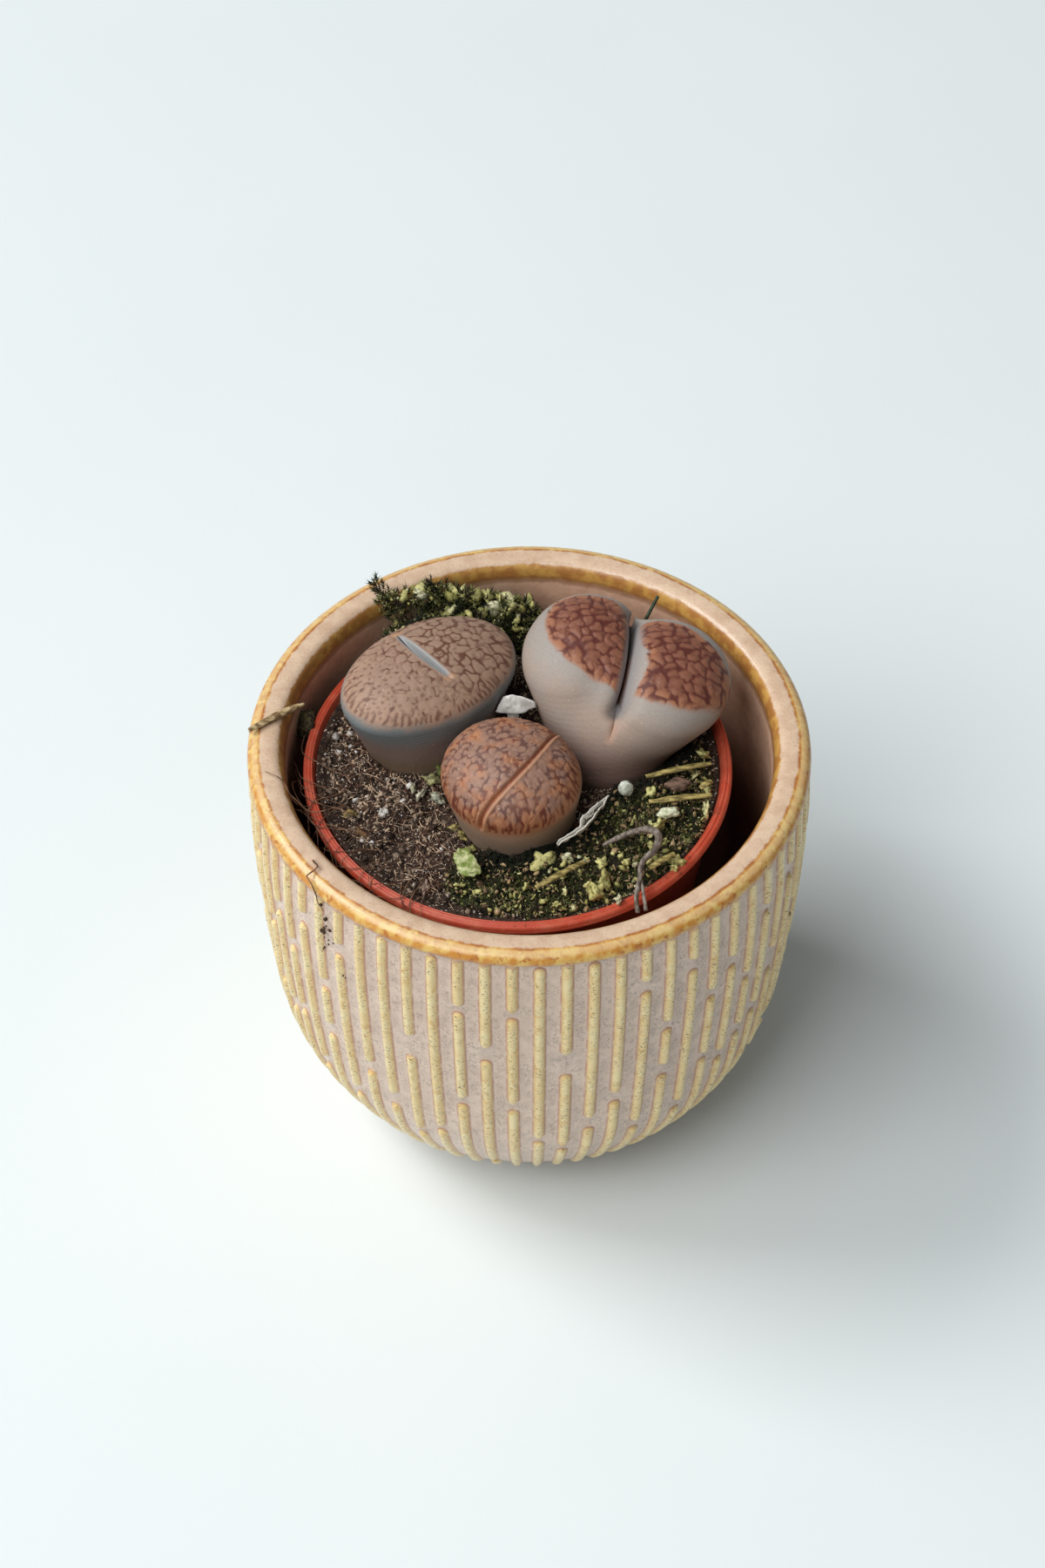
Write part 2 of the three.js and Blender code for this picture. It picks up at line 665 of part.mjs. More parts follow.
const group = new THREE.Group();

function place(name, solid, colour, roughness = 0.8) {
  const material = new THREE.MeshStandardMaterial({ color: colour, roughness, metalness: 0 });
  const mesh = new THREE.Mesh(geometryOf(solid), material);
  mesh.name = name;
  group.add(mesh);
}

const plants = Object.values(PLANTS);
const rooms = join(plants.map(plantRoom));
const clear = rooms.add(potRooms());

place('outer_pot', outerPot(), COLOURS.outer_pot, 0.25);
place('nursery_pot', nurseryPot(), COLOURS.nursery_pot, 0.5);
place('soil', soilPlug().subtract(rooms), COLOURS.soil, 0.95);
Object.entries(PLANTS).forEach(([name, plant]) => place(name, wholePlant(plant), plant.colour, 0.55));
place('moss_front', mossFront(clear), COLOURS.moss, 0.95);
place('moss_back', mossBack(clear), COLOURS.moss, 0.95);
place('husk', husk(), COLOURS.husk);
place('dry_leaf', dryLeaf(), COLOURS.leaf);
// Loose pieces: the paths of stalks and straws
const STALK = [
  [10.0, -13.4, 59.5], [13.0, -11.6, 60.4], [15.6, -11.2, 60.8], [16.2, -12.8, 60.4], [14.4, -15.8, 60.0],
  [13.6, -19.6, 59.8], [13.2, -24.6, 58.9],
];
const STEM = [[13.4, 19.4, 57.2], [14.6, 20.6, 61.0], [17.8, 23.8, 65.6]];
const RIM_STRAW = [[-35.9, 1.0, 63.4], [-33, 3.2, 63.3], [-29.0, 5.6, 63.4]];
const STRAWS = [
  [[14.9, -3.9, 59.6], [23.4, -1.6, 59.6]],
  [[15.2, -8.4, 59.8], [23.2, -7.3, 59.8]],
  [[21.8, -5.4, 59.0], [23.3, -4.2, 59.0]],
  [[15.0, -19.2, 59.5], [18.2, -16.8, 59.5]],
  [[0.8, -22.3, 59.4], [6.9, -18.4, 59.8]],
];

place('stalk_hooked', solidOf(twig(STALK, 0.4, 0.32, 5, 2)), COLOURS.stalk);
place('green_stem', solidOf(twig(STEM, 0.3, 0.2, 5, 2)), COLOURS.stem);
STRAWS.forEach((ends, i) => place(`straw_${i + 1}`, solidOf(twig(ends, 0.45, 0.35, 5, 2)), COLOURS.straw));
place('straw_on_rim', solidOf(twig(RIM_STRAW, 0.3, 0.5, 5, 2)), COLOURS.straw);
place('perlite_ball', lumpOf(12.3, -6.3, 60.0, [1.0, 1.0, 1.0], 0), COLOURS.perlite);
place('white_chunk', lumpOf(17.6, -10.2, 59.8, [1.1, 0.8, 0.6], 20), COLOURS.perlite);
place('bark_crumb', lumpOf(18.9, -5.4, 59.8, [1.7, 1.0, 0.6], 10), COLOURS.bark);
place('large_flake', lumpOf(-8.0, -17.9, 59.3, [1.1, 2.2, 0.6], 10), COLOURS.flake);

export default group;
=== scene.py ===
"""Potted lithops: three stone plants in a plastic nursery pot that stands inside a stoneware pot.

Lengths in this file are in millimetres, apart from the places on the stage; meshes are made in metres.
"""
import math

import bpy
import numpy as np
from bpy.props import FloatProperty, FloatVectorProperty, IntProperty, PointerProperty
from bpy.types import Operator, Panel, PropertyGroup
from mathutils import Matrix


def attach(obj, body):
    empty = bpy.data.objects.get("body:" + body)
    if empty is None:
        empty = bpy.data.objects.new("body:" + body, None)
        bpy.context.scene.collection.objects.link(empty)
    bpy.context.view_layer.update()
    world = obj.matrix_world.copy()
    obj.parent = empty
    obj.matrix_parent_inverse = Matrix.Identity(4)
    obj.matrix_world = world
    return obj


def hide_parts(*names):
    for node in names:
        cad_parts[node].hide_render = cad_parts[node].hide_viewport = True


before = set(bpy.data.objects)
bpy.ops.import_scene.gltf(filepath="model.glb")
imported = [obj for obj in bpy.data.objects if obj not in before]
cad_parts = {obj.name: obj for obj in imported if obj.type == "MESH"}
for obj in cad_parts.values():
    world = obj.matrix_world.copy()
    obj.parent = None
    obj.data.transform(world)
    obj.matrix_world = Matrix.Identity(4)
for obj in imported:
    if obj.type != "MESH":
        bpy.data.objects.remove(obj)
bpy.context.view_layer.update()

bl_info = {
    "name": "Potted lithops",
    "version": (1, 0, 0),
    "blender": (4, 5, 0),
    "location": "3D View > Sidebar > Lithops",
    "description": "Builds the pots, soil, stone plants, moss and loose bits over the packed frame",
    "category": "Object",
}

MM = 0.001
FAR = 9.0                # stands for a place that is far from any dash

# Stoneware pot
POT_HEIGHT = 62.5
RIB_COLUMNS = 66
RIB_TURN = -3.4          # degrees from the front to the column the count starts at
MIRROR_COLUMN = -1       # the dashes are the same on both sides of this column
DASH_END = 57.0          # depth below the rim where the last dashes end
BAND_LEVEL = 60.6        # height where the rim's raised band ends
BAND_WAY = 3.2           # way down the skin from the top of the rim to that height
WALL_ROWS = 104          # points down the wall in each column
ACROSS = [-0.3, -0.235, -0.18, -0.1, 0, 0.1, 0.18, 0.235, 0.3, 0.5]     # points across a column, in its widths
POT_WALL = [
    [0, 19.0], [4.7, 24.9], [10.7, 29.7], [19.5, 33.7], [30.5, 35.3], [42.5, 36.1], [53.5, 36.4], [60.6, 36.1],
]
POT_HOLLOW = [
    [6.5, 21.2], [8.6, 23.9], [13.5, 27.3], [22, 29.9], [35, 30.9], [52, 31.3], [60.6, 31.3], [61.6, 31.7],
    [62.5, 32.3],
]
POT_RIM = [
    [36.15, 60.95], [36.1, 61.35], [35.92, 61.75], [35.6, 62.08], [35.15, 62.32], [34.7, 62.45], [34.2, 62.5],
    [33.6, 62.5], [33.0, 62.46], [32.5, 62.34], [32.1, 62.08], [31.8, 61.7], [31.6, 61.2], [31.45, 60.6],
]
FOOT_RING = [(0, 0.5), (8, 0.5), (14.8, 0.5), (15.8, 0.3), (16.4, 0.02), (17.6, 0), (18.5, 0)]
HOLLOW_LEVELS = (59, 56.5, 53, 48, 43, 38, 33, 28, 24, 20, 17, 14.5, 12.4, 10.6, 9, 7.8, 7, 6.6)
INNER_FLOOR = [(19.5, 6.5), (12, 6.5), (5, 6.5), (0, 6.5)]
# Breaks between the dashes of a column, as depths below the rim, from the mirror column outwards
DASH_BREAKS = [
    [[18.8, 21.8], [49.0, 51.0]],
    [[11.0, 12.4], [31.1, 32.9]],
    [[0, 2.6], [39.6, 40.9]],
    [[20.1, 24.8], [42.3, 44.0]],
    [[0, 2.6], [35.6, 38.4]],
    [[30.8, 33.1]],
    [[8.5, 10.7], [39.5, 41.6]],
    [[18.6, 20.5], [28.2, 30.8]],
    [[8.3, 10.5], [39.3, 41.5]],
    [[16.9, 18.6], [30.9, 32.5]],
    [[13.0, 15.1], [33.4, 35.4]],
    [[19.5, 20.9], [30.8, 33.0]],
    [[9.1, 10.6], [29.5, 31.5]],
]

# Nursery pot and soil
NURSERY_X, NURSERY_Y = -1.5, 0.1
NURSERY_SIDES = 176
DRAIN_RING, DRAIN_RADIUS, DRAIN_HEIGHT = 11, 2.2, 7.2
NURSERY_OUTLINE = [
    [9.0, 6.8], [18.6, 6.8], [19.2, 7.0], [19.4, 7.5], [21.8, 25.0], [24.4, 44.0], [26.2, 55.6], [26.5, 56.1],
    [27.2, 56.35], [27.56, 56.5], [27.7, 56.8], [27.68, 57.08], [27.58, 57.18], [27.68, 57.3], [27.62, 57.58],
    [27.44, 57.74], [27.3, 57.78], [27.18, 57.68], [27.06, 57.78], [26.92, 57.88], [26.78, 57.84], [26.68, 57.74],
    [26.58, 57.8], [26.46, 57.72], [26.38, 57.4], [25.95, 56.5], [25.3, 55.5], [23.5, 43.0], [20.9, 24.0],
    [18.6, 8.4], [18.0, 7.8], [17.4, 7.7], [9.0, 7.7],
]
SOIL_TOP = 56.5
SOIL_COLUMNS = 240
SOIL_SIDE = [(0, 8.1), (16, 8.1), (17.9, 8.6), (21.2, 32.0), (24.3, 55.2), (25.6, 56.5), (26.05, 57.0)]
BRIM, BRIM_TOP = (24.2, 25.9), 57.15     # radii between which the soil rises to the rim, and its height there
# White grains at places of their own: x, y and half sizes
WHITE_GRAINS = [
    (-18.6, -8.0, 0.5, 0.36, 0.34), (-22.3, -4.7, 0.6, 0.3, 0.3), (-22.5, 3.4, 0.42, 0.3, 0.3),
    (-15.4, -2.9, 0.55, 0.5, 0.45), (-16.2, -5.9, 0.5, 0.28, 0.25), (-19.9, -12.7, 0.3, 0.22, 0.22),
    (-21.2, -12.6, 0.34, 0.3, 0.3), (-11.1, -13.6, 0.32, 0.3, 0.28), (-14.4, -19.9, 0.26, 0.24, 0.22),
    (-10.2, -18.3, 0.3, 0.28, 0.26), (-25.2, 5.6, 0.7, 0.6, 0.6), (-24.6, 3.0, 0.5, 0.4, 0.5),
    (-23.4, 6.6, 0.5, 0.5, 0.4), (-23.2, 4.2, 0.4, 0.36, 0.4),
]
# Bits of bark and leaf on the soil: place, half sizes and colour
SOIL_BITS = [
    ((-23.1, -7.4), (0.9, 0.6, 0.3), (176, 150, 92)), ((-21.4, -10.8), (0.5, 0.9, 0.25), (140, 104, 66)),
    ((-13.0, -20.0), (1.0, 0.4, 0.3), (190, 160, 142)), ((-18.6, -8.0), (0.7, 0.5, 0.4), (222, 218, 208)),
    ((-12.6, -2.4), (0.9, 0.7, 0.6), (186, 184, 128)), ((-11.3, -1.2), (0.6, 0.8, 0.6), (128, 138, 70)),
    ((-13.8, -4.6), (1.0, 0.35, 0.35), (206, 204, 178)), ((-14.9, -3.6), (0.8, 0.3, 0.3), (196, 190, 160)),
    ((-11.8, -5.0), (0.8, 0.6, 0.4), (196, 196, 172)), ((-9.6, -9.6), (0.6, 0.5, 0.3), (176, 160, 98)),
    ((-8.6, -11.6), (0.5, 0.7, 0.3), (168, 152, 92)), ((-7.4, -13.4), (0.6, 0.5, 0.3), (156, 150, 88)),
]

# Stone plants: axes along the fissure (u), across it (v) and up (w) from the centre. Lobes, neck and foot are
# ellipsoids, each with its centre and radii. A slit is a blade: the place, slope, bend and lean of its middle,
# the height and rise of its floor, its half width there, how it opens, and where it begins and ends along u.
PLANTS = {
    "lithops_left": {
        "centre": (-13.0, 8.9, 64.4), "turn": -53.4, "blend": 1.5, "core": (0, -0.67, -2), "slot": "lithops_grey",
        "lobes": [((0, 0, 0), (8.8, 12.5, 4.6))],
        "neck": ((1.3, -1.5, -7.9), (7.2, 8.4, 3.5)), "foot": ((1.3, -1.5, -17.4), (2.8, 2.8, 2.8)),
        "slit": {"plane": (-0.67, 0.115, 0.019, 0), "floor": 3.75, "rise": 0, "width": 0.05, "flare": 0.02,
                 "lens": 0.28, "from": -6.1, "to": 4.5, "lip": 0.5},
        "root": [(0, 0, -15), (1.5, 1, -26), (0, 2, -40)], "counts": (300, 202), "cut": 0.1,
        "cell": 1.35, "relief": 0.05, "line": 0.205, "faintest": 0.22, "seed": 11,
    },
    "lithops_right": {
        "centre": (12.4, 9.0, 62.5), "turn": 79.3, "blend": 1.8, "core": (-1.5, 2.6, -5.5), "slot": "lithops_rust",
        "lobes": [((2.95, 5.75, 1.8), (9.75, 8.2, 6.0)), ((0.34, -4.5, 1.5), (10.0, 9.2, 5.6))],
        "neck": ((-5.3, 1.5, -6.0), (6.4, 6.6, 3.5)), "foot": ((-5.3, 1.5, -15.5), (2.8, 2.8, 2.8)),
        "slit": {"plane": (1.0, 0.066, 0, -0.305), "floor": 0.0, "rise": 2.6, "width": 0.03, "flare": 0.012, "lens": 0,
                 "from": -6.8, "to": 8.2, "lip": 3.0},
        "root": [(-4, 1, -14), (-3, 0, -26), (-5, -1, -40)], "counts": (344, 226), "cut": 0.07,
        "cell": 1.55, "relief": 0.16, "line": 0.225, "faintest": 0.42, "seed": 23,
    },
    "lithops_small": {
        "centre": (-2.3, -6.8, 61.9), "turn": 42.3, "blend": 1.5, "core": (0, -1.6, -2), "slot": "lithops_orange",
        "lobes": [((0.25, 0.25, 0.35), (8.65, 9.4, 5.6))],
        "neck": ((0.0, -0.9, -5.4), (7.4, 7.4, 3.2)), "foot": ((0.0, -0.9, -14.9), (2.8, 2.8, 2.8)),
        "slit": {"plane": (-3.0, 0.196, 0.0245, 0), "floor": 9, "rise": 0, "width": 0.02, "flare": 0, "lens": 0,
                 "from": -1, "to": 1, "lip": 0.3},
        "root": [(0, 0, -13), (1, -1, -22), (0, -2, -34)], "counts": (256, 178), "cut": 0.22,
        "cell": 1.05, "relief": 0.07, "line": 0.205, "faintest": 0.18, "seed": 37,
    },
}
SKIN_REACH, HALVINGS = 30.0, 17      # the skin is looked for within this reach, by halving it this often
# Outlines of the two patterned faces of the cleft plant, as u, v from each lobe's centre
CLEFT_FACES = [
    [(5.6, 5.0), (3.7, 5.3), (0.8, 5.3), (-1.8, 4.5), (-3.9, 3.1), (-6.3, -0.4), (-7.4, -3.7), (-8, -5.7),
     (-6.2, -5.9), (-4.3, -5.9), (-1.4, -5.8), (2, -5.7), (5, -4.3), (6.8, -2.3), (6.9, 0.5)],
    [(6.9, 3.8), (7.2, 1.2), (7, -1), (5.5, -3.8), (4.3, -5.9), (2.8, -7.7), (-0.1, -9.1), (-2.4, -9), (-4.9, -7.5),
     (-6.5, -5.3), (-7, -2.1), (-6.8, 0.7), (-6, 2.4), (-3.9, 1.5), (-1.9, 1.1), (0.3, 1.6), (2.7, 2.9)],
]

# Moss: the tips of the clump behind with their counts of shoots, its ridge, and the large flakes with their sizes
MOSS_TIPS = [
    ([(-17.2, 22.4, 61.5), (-20.2, 24.8, 65.9)], 60), ([(-13.2, 23.4, 62.0), (-12.8, 24.9, 65.8)], 44),
    ([(-8.4, 24.0, 60.5), (-7.6, 25.0, 63.6)], 30),
]
MOSS_RIDGE = [
    (-19.0, 23.4, 64.2), (-16.2, 23.8, 64.0), (-12.6, 24.4, 64.6), (-7.3, 24.8, 62.8), (-4.0, 24.8, 61.4),
    (-1.8, 24.0, 60.2),
]
FLAKES = np.array([
    (1.7, -16.7, 1.2), (4.8, -16.5, 0.7), (12.1, -17.2, 0.85), (8.4, -22.0, 1.05), (9.5, -20.1, 0.8),
    (9.2, -17.3, 0.8), (4.2, -19.5, 0.6), (4.5, -21.9, 0.65), (-0.4, -20.9, 0.6), (18.7, -16.9, 0.9),
    (18.1, -17.9, 0.7), (6.8, -17.1, 0.5), (3.4, -24.1, 0.5), (7.4, -21.3, 0.6), (11.1, -23.4, 0.6),
    (15.5, -5.4, 0.8), (16.5, -10.9, 0.9), (22.5, -8.4, 0.7), (22.5, 1.1, 0.9),
])

# Loose pieces, as paths
STALK = [
    (9.2, -15.2, 59.2), (12.3, -14.1, 60.1), (15.0, -13.9, 60.8), (16.2, -14.7, 60.7), (15.8, -16.8, 60.4),
    (14.2, -18.6, 60.1), (13.65, -21.8, 59.9), (13.3, -23.8, 59.5), (13.4, -25.5, 58.4),
]
STALK_FOOT = [(13.9, -20.6, 59.9), (14.1, -22.8, 59.6), (14.5, -25.3, 58.5)]
STEM = [(13.4, 19.4, 57.2), (14.8, 20.9, 61.2), (17.0, 23.3, 64.9)]
RIM_STRAW = [(-35.9, 1.0, 63.4), (-33, 3.2, 63.3), (-29.0, 5.6, 63.4)]
STRAWS = [
    [(14.9, -3.9, 59.6), (23.4, -1.6, 59.6)],
    [(15.2, -8.4, 59.8), (23.2, -7.3, 59.8)],
    [(21.8, -5.4, 59.0), (23.3, -4.2, 59.0)],
    [(15.0, -19.2, 59.5), (18.2, -16.8, 59.5)],
    [(0.8, -22.3, 59.4), (6.9, -18.4, 59.8)],
]
ROOT_LOOPS = [
    [(-29.6, -2.0, 56.6), (-30.4, -3.6, 57.9), (-29.6, -6.4, 58.2), (-28.2, -8.6, 57.8), (-29.3, -6.2, 55.8)],
    [(-30.5, -6.6, 56.2), (-29.0, -8.6, 58.2), (-27.0, -11.4, 58.4), (-25.4, -14.6, 58.3), (-24.6, -16.4, 57.0)],
    [(-31.3, -7.6, 62.2), (-29.9, -8.6, 60.9), (-27.7, -9.4, 59.0), (-25.0, -8.2, 58.3), (-23.0, -7.0, 57.4)],
    [(-33.5, -6.0, 62.9), (-31.4, -7.2, 62.7), (-29.6, -8.8, 60.0), (-27.6, -8.2, 58.5)],
]
CURLY_ROOT = [
    (-26.2, -19.6, 61.0), (-26.8, -20.4, 62.4), (-26.6, -21.3, 63.15), (-26.2, -21.9, 63.1), (-26.9, -22.7, 62.9),
    (-27.4, -23.4, 62.95), (-26.9, -24.3, 62.6), (-26.4, -25.0, 61.6), (-26.0, -25.7, 60.4), (-25.4, -26.2, 59.4),
]
ROOT_COUNT = 30
SHEET = 0.16             # thickness of the husk and the dry leaf
HUSK_X, HUSK_Y = -2.2, 6.1

# Stage, in metres
LAMPS = {"window": ((-1.118, 0.299, 1.409), 0.8), "room_light": ((-0.784, -0.784, 1.448), 1.2)}
LAMP_TARGET = (0, 0, 0.03)
LAMP_COLOUR = (1.0, 0.995, 0.985)
SKY_COLOUR = (0.93, 0.975, 1.0, 1.0)
CAMERA_PLACE, CAMERA_TILT = (0, -0.3013, 0.3913), 42.5
CAMERA_SHIFT = (-0.00433, -0.0289)


# Sizes and colours that a user may change

def span(name, description, millimetres):
    return FloatProperty(name=name, description=description, default=millimetres * MM, min=0, unit="LENGTH",
                         subtype="DISTANCE", precision=6)


def tint(name, description, red, green, blue):
    return FloatVectorProperty(name=name, description=description, default=(red / 255, green / 255, blue / 255),
                               min=0, max=1, size=3, subtype="COLOR_GAMMA")


def amount(name, description, number):
    return IntProperty(name=name, description=description, default=number, min=0)


class StonewareLook(PropertyGroup):
    """Stoneware pot"""
    rib_height: span("Rib height", "How far a dash stands proud of the wall", 0.65)
    rib_half: span("Rib half width", "Half the width of a dash", 0.72)
    ground: tint("Ground", "Glaze between the dashes", 226, 202, 184)
    rib: tint("Dashes", "Glaze on the dashes", 238, 209, 146)
    rim: tint("Rim top", "Glaze on the flat top of the rim", 228, 200, 172)
    amber: tint("Amber", "Glaze that pools on the rim's edges", 204, 138, 52)
    outline: tint("Outline", "Thin line where the glaze breaks beside a dash", 190, 136, 108)
    inside: tint("Inside", "Wall inside the pot", 242, 202, 172)


class PlasticLook(PropertyGroup):
    """Nursery pot"""
    colour: tint("Plastic", "Terracotta coloured plastic", 196, 78, 54)
    worn: tint("Worn plastic", "Dusty and scuffed plastic", 208, 116, 90)


class PlantLook(PropertyGroup):
    """Stone plants"""
    vein: span("Vein width", "Width of the dark lines on the faces", 0.3)
    left_face: tint("Left face", "Islands on the left plant", 166, 136, 116)
    left_vein: tint("Left veins", "Lines on the left plant", 102, 64, 48)
    left_side: tint("Left side", "Side of the left plant", 138, 118, 110)
    right_face: tint("Right face", "Islands on the right plant", 143, 92, 70)
    right_vein: tint("Right veins", "Lines on the right plant", 92, 40, 33)
    right_side: tint("Right side", "Side of the right plant", 176, 156, 142)
    small_face: tint("Small face", "Islands on the small plant", 186, 130, 94)
    small_vein: tint("Small veins", "Lines on the small plant", 108, 42, 28)
    small_side: tint("Small side", "Side of the small plant", 172, 146, 126)


class GroundLook(PropertyGroup):
    """Soil and moss"""
    crumbs: amount("Crumbs", "Crumbs of peat on the soil", 6000)
    fibres: amount("Fibres", "Short fibres on the soil", 1900)
    grains: amount("Grains", "White grains in the soil", 900)
    front_shoots: amount("Front shoots", "Moss shoots at the front and the right", 3000)
    back_shoots: amount("Back shoots", "Moss shoots in the clump behind", 1000)
    soil_dark: tint("Dark soil", "Moist peat", 36, 26, 22)
    soil_light: tint("Light soil", "Dry peat and bark", 152, 128, 108)
    moss_dark: tint("Dark moss", "Shaded moss leaves", 26, 34, 18)
    moss_light: tint("Light moss", "Tips of the moss leaves", 116, 118, 56)
    granule: tint("Granules", "Pale granules in the moss", 226, 220, 150)


class StageLook(PropertyGroup):
    """Stage"""
    floor: tint("Floor", "Plain pale floor", 236, 244, 246)
    lens: FloatProperty(name="Lens", description="Focal length of the camera", default=80, unit="CAMERA")
    window: FloatProperty(name="Window", description="Power of the window at the left", default=18.5, unit="POWER")
    room: FloatProperty(name="Room", description="Power of the wide light at the front left", default=20,
                        unit="POWER")
    fill: FloatProperty(name="Fill", description="Strength of the light from all round", default=0.17)


# Numbers

def ease(value, low, high):
    t = np.clip((value - low) / (high - low), 0, 1)
    return t * t * (3 - 2 * t)


def mix(a, b, share):
    return a + (b - a) * share


def curve(points, at):
    """Smooth curve through [place, value] pairs."""
    x, y = np.array(points, float).T
    slope = np.empty(len(x))
    slope[1:-1] = (y[2:] - y[:-2]) / (x[2:] - x[:-2])
    slope[0] = (y[1] - y[0]) / (x[1] - x[0])
    slope[-1] = (y[-1] - y[-2]) / (x[-1] - x[-2])
    at = np.clip(at, x[0], x[-1])
    i = np.clip(np.searchsorted(x, at, side="right") - 1, 0, len(x) - 2)
    width = x[i + 1] - x[i]
    t = (at - x[i]) / width
    return (y[i] * (2 * t**3 - 3 * t**2 + 1) + slope[i] * width * (t**3 - 2 * t**2 + t)
            + y[i + 1] * (3 * t**2 - 2 * t**3) + slope[i + 1] * width * (t**3 - t**2))


def path(points, count):
    """A given number of places evenly along a smooth path through points."""
    points = np.array(points, float)
    run = np.concatenate([[0], np.cumsum(np.linalg.norm(np.diff(points, axis=0), axis=1))])
    at = np.linspace(0, run[-1], count)
    if len(points) == 2:
        return mix(points[0], points[1], (at / run[-1])[:, None])
    return np.column_stack([curve(np.column_stack([run, points[:, k]]), at) for k in range(3)])


def cell_number(i, j, k=0, seed=0):
    """Repeatable number from 0 to 1 for each whole-numbered cell."""
    n = (i * 374761393 + j * 668265263 + k * 2246822519 + seed * 3266489917) & 0xFFFFFFFF
    n = ((n ^ (n >> 13)) * 1274126177) & 0xFFFFFFFF
    return (n ^ (n >> 16)) / 4294967295


def cloud(points, size, seed=0):
    """Smooth noise from -1 to 1 with features of the given size."""
    q = np.asarray(points, float) / size
    low = np.floor(q).astype(np.int64)
    t = q - low
    t = t * t * (3 - 2 * t)
    total = np.zeros(len(q))
    for corner in np.ndindex(2, 2, 2):
        share = np.prod([t[:, k] if corner[k] else 1 - t[:, k] for k in range(3)], axis=0)
        total += share * cell_number(low[:, 0] + corner[0], low[:, 1] + corner[1], low[:, 2] + corner[2], seed)
    return 2 * total - 1


def wander(points, size, first=1):
    """Three smooth noises side by side, to shift points by."""
    return np.column_stack([cloud(points, size, first + k) for k in range(3)])


def turned(points, degrees):
    """Points turned about the z axis."""
    c, s = math.cos(math.radians(degrees)), math.sin(math.radians(degrees))
    return np.asarray(points) @ np.array([[c, s, 0], [-s, c, 0], [0, 0, 1]])


def cells(x, y, size, seed, width, least):
    """Distance to the nearest edge between scattered cells, the number of the cell, and a web that runs along
    the edges: wide where they meet and faint along some of them."""
    gx, gy = x / size, y / size
    ix, iy = np.floor(gx).astype(np.int64), np.floor(gy).astype(np.int64)
    spots = []
    for a, b in np.ndindex(5, 5):
        i, j = ix + a - 2, iy + b - 2
        spots.append((i + 0.12 + 0.76 * cell_number(i, j, 1, seed) - gx,
                      j + 0.12 + 0.76 * cell_number(i, j, 2, seed) - gy, cell_number(i, j, 3, seed)))
    nearest = np.argmin([dx * dx + dy * dy for dx, dy, _ in spots], axis=0)
    own_x, own_y, number = (np.choose(nearest, [spot[k] for spot in spots]) for k in range(3))
    edge, web = np.full(len(gx), 9.0), np.zeros(len(gx))
    for dx, dy, other in spots:
        away = np.hypot(dx - own_x, dy - own_y)
        half = ((dx + own_x) * (dx - own_x) + (dy + own_y) * (dy - own_y)) / 2 / np.maximum(away, 1e-9)
        edge = np.where(away > 1e-6, np.minimum(edge, half), edge)
        pair = (number + other) * 7.31
        strength = least + (1.3 - least) * (pair - np.floor(pair))
        web += np.where(away > 1e-6, strength * np.exp(-((half * size / width) ** 2)), 0)
    return edge * size, number, web


def spread(count, low, high, weight):
    """Rising places from low to high that lie closer together where the weight is larger."""
    fine = np.linspace(low, high, 1600)
    density = weight(fine)
    total = np.concatenate([[0], np.cumsum((density[1:] + density[:-1]) / 2)])
    return np.interp(np.linspace(0, total[-1], count), total, fine)


# Meshes

def deselect():
    if bpy.context.mode != "OBJECT":
        bpy.ops.object.mode_set(mode="OBJECT")
    bpy.ops.object.select_all(action="DESELECT")


def choose(piece):
    """Select one piece alone and make it active."""
    deselect()
    bpy.context.view_layer.objects.active = piece
    piece.select_set(True)


def take(name):
    """Name the piece that was just added."""
    piece = bpy.context.object
    piece.name = piece.data.name = name
    return piece


def places(piece):
    flat = np.empty(len(piece.data.vertices) * 3, np.float32)
    piece.data.vertices.foreach_get("co", flat)
    return flat.reshape(-1, 3).astype(float) / MM


def move(piece, points):
    piece.data.vertices.foreach_set("co", (np.asarray(points) * MM).astype(np.float32).ravel())
    piece.data.update()


def mark(piece, name, values):
    """Keep a number at each point of a piece for its material."""
    attribute = piece.data.attributes.new(name, "FLOAT", "POINT")
    attribute.data.foreach_set("value", np.asarray(values, np.float32))


def grid(name, columns, rows):
    """A flat grid, and the column and row of each of its points."""
    deselect()
    bpy.ops.mesh.primitive_grid_add(x_subdivisions=columns, y_subdivisions=rows, size=1)
    piece = take(name)
    at = places(piece) * MM + 0.5
    if len(at) != (columns + 1) * (rows + 1):
        raise RuntimeError(f"{name}: the grid has {len(at)} points")
    return piece, np.rint(at[:, 0] * columns).astype(int), np.rint(at[:, 1] * rows).astype(int)


def close_up(piece, apart=0.002):
    """Merge the seams and poles of a piece, point its faces outwards and shade it smooth."""
    choose(piece)
    bpy.ops.object.mode_set(mode="EDIT")
    bpy.ops.mesh.select_all(action="SELECT")
    bpy.ops.mesh.remove_doubles(threshold=apart * MM)
    bpy.ops.mesh.normals_make_consistent(inside=False)
    bpy.ops.object.mode_set(mode="OBJECT")
    bpy.ops.object.shade_smooth()


def apply_modifier(piece, kind, **settings):
    choose(piece)
    modifier = piece.modifiers.new(kind.title(), kind)
    for name, value in settings.items():
        setattr(modifier, name, value)
    bpy.ops.object.modifier_apply(modifier=modifier.name)


def place_here(piece):
    """Put the place of a piece into its mesh."""
    choose(piece)
    bpy.ops.object.transform_apply(location=True, rotation=True, scale=True)


def remove(piece):
    mesh = piece.data
    bpy.data.objects.remove(piece)
    bpy.data.meshes.remove(mesh)


def settle(piece, finish, slot, *nodes):
    """Give a piece its material, its body and the nodes that it stands for."""
    piece.data.materials.clear()
    piece.data.materials.append(finish.material)
    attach(piece, "root")
    if nodes:
        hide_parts(*nodes)


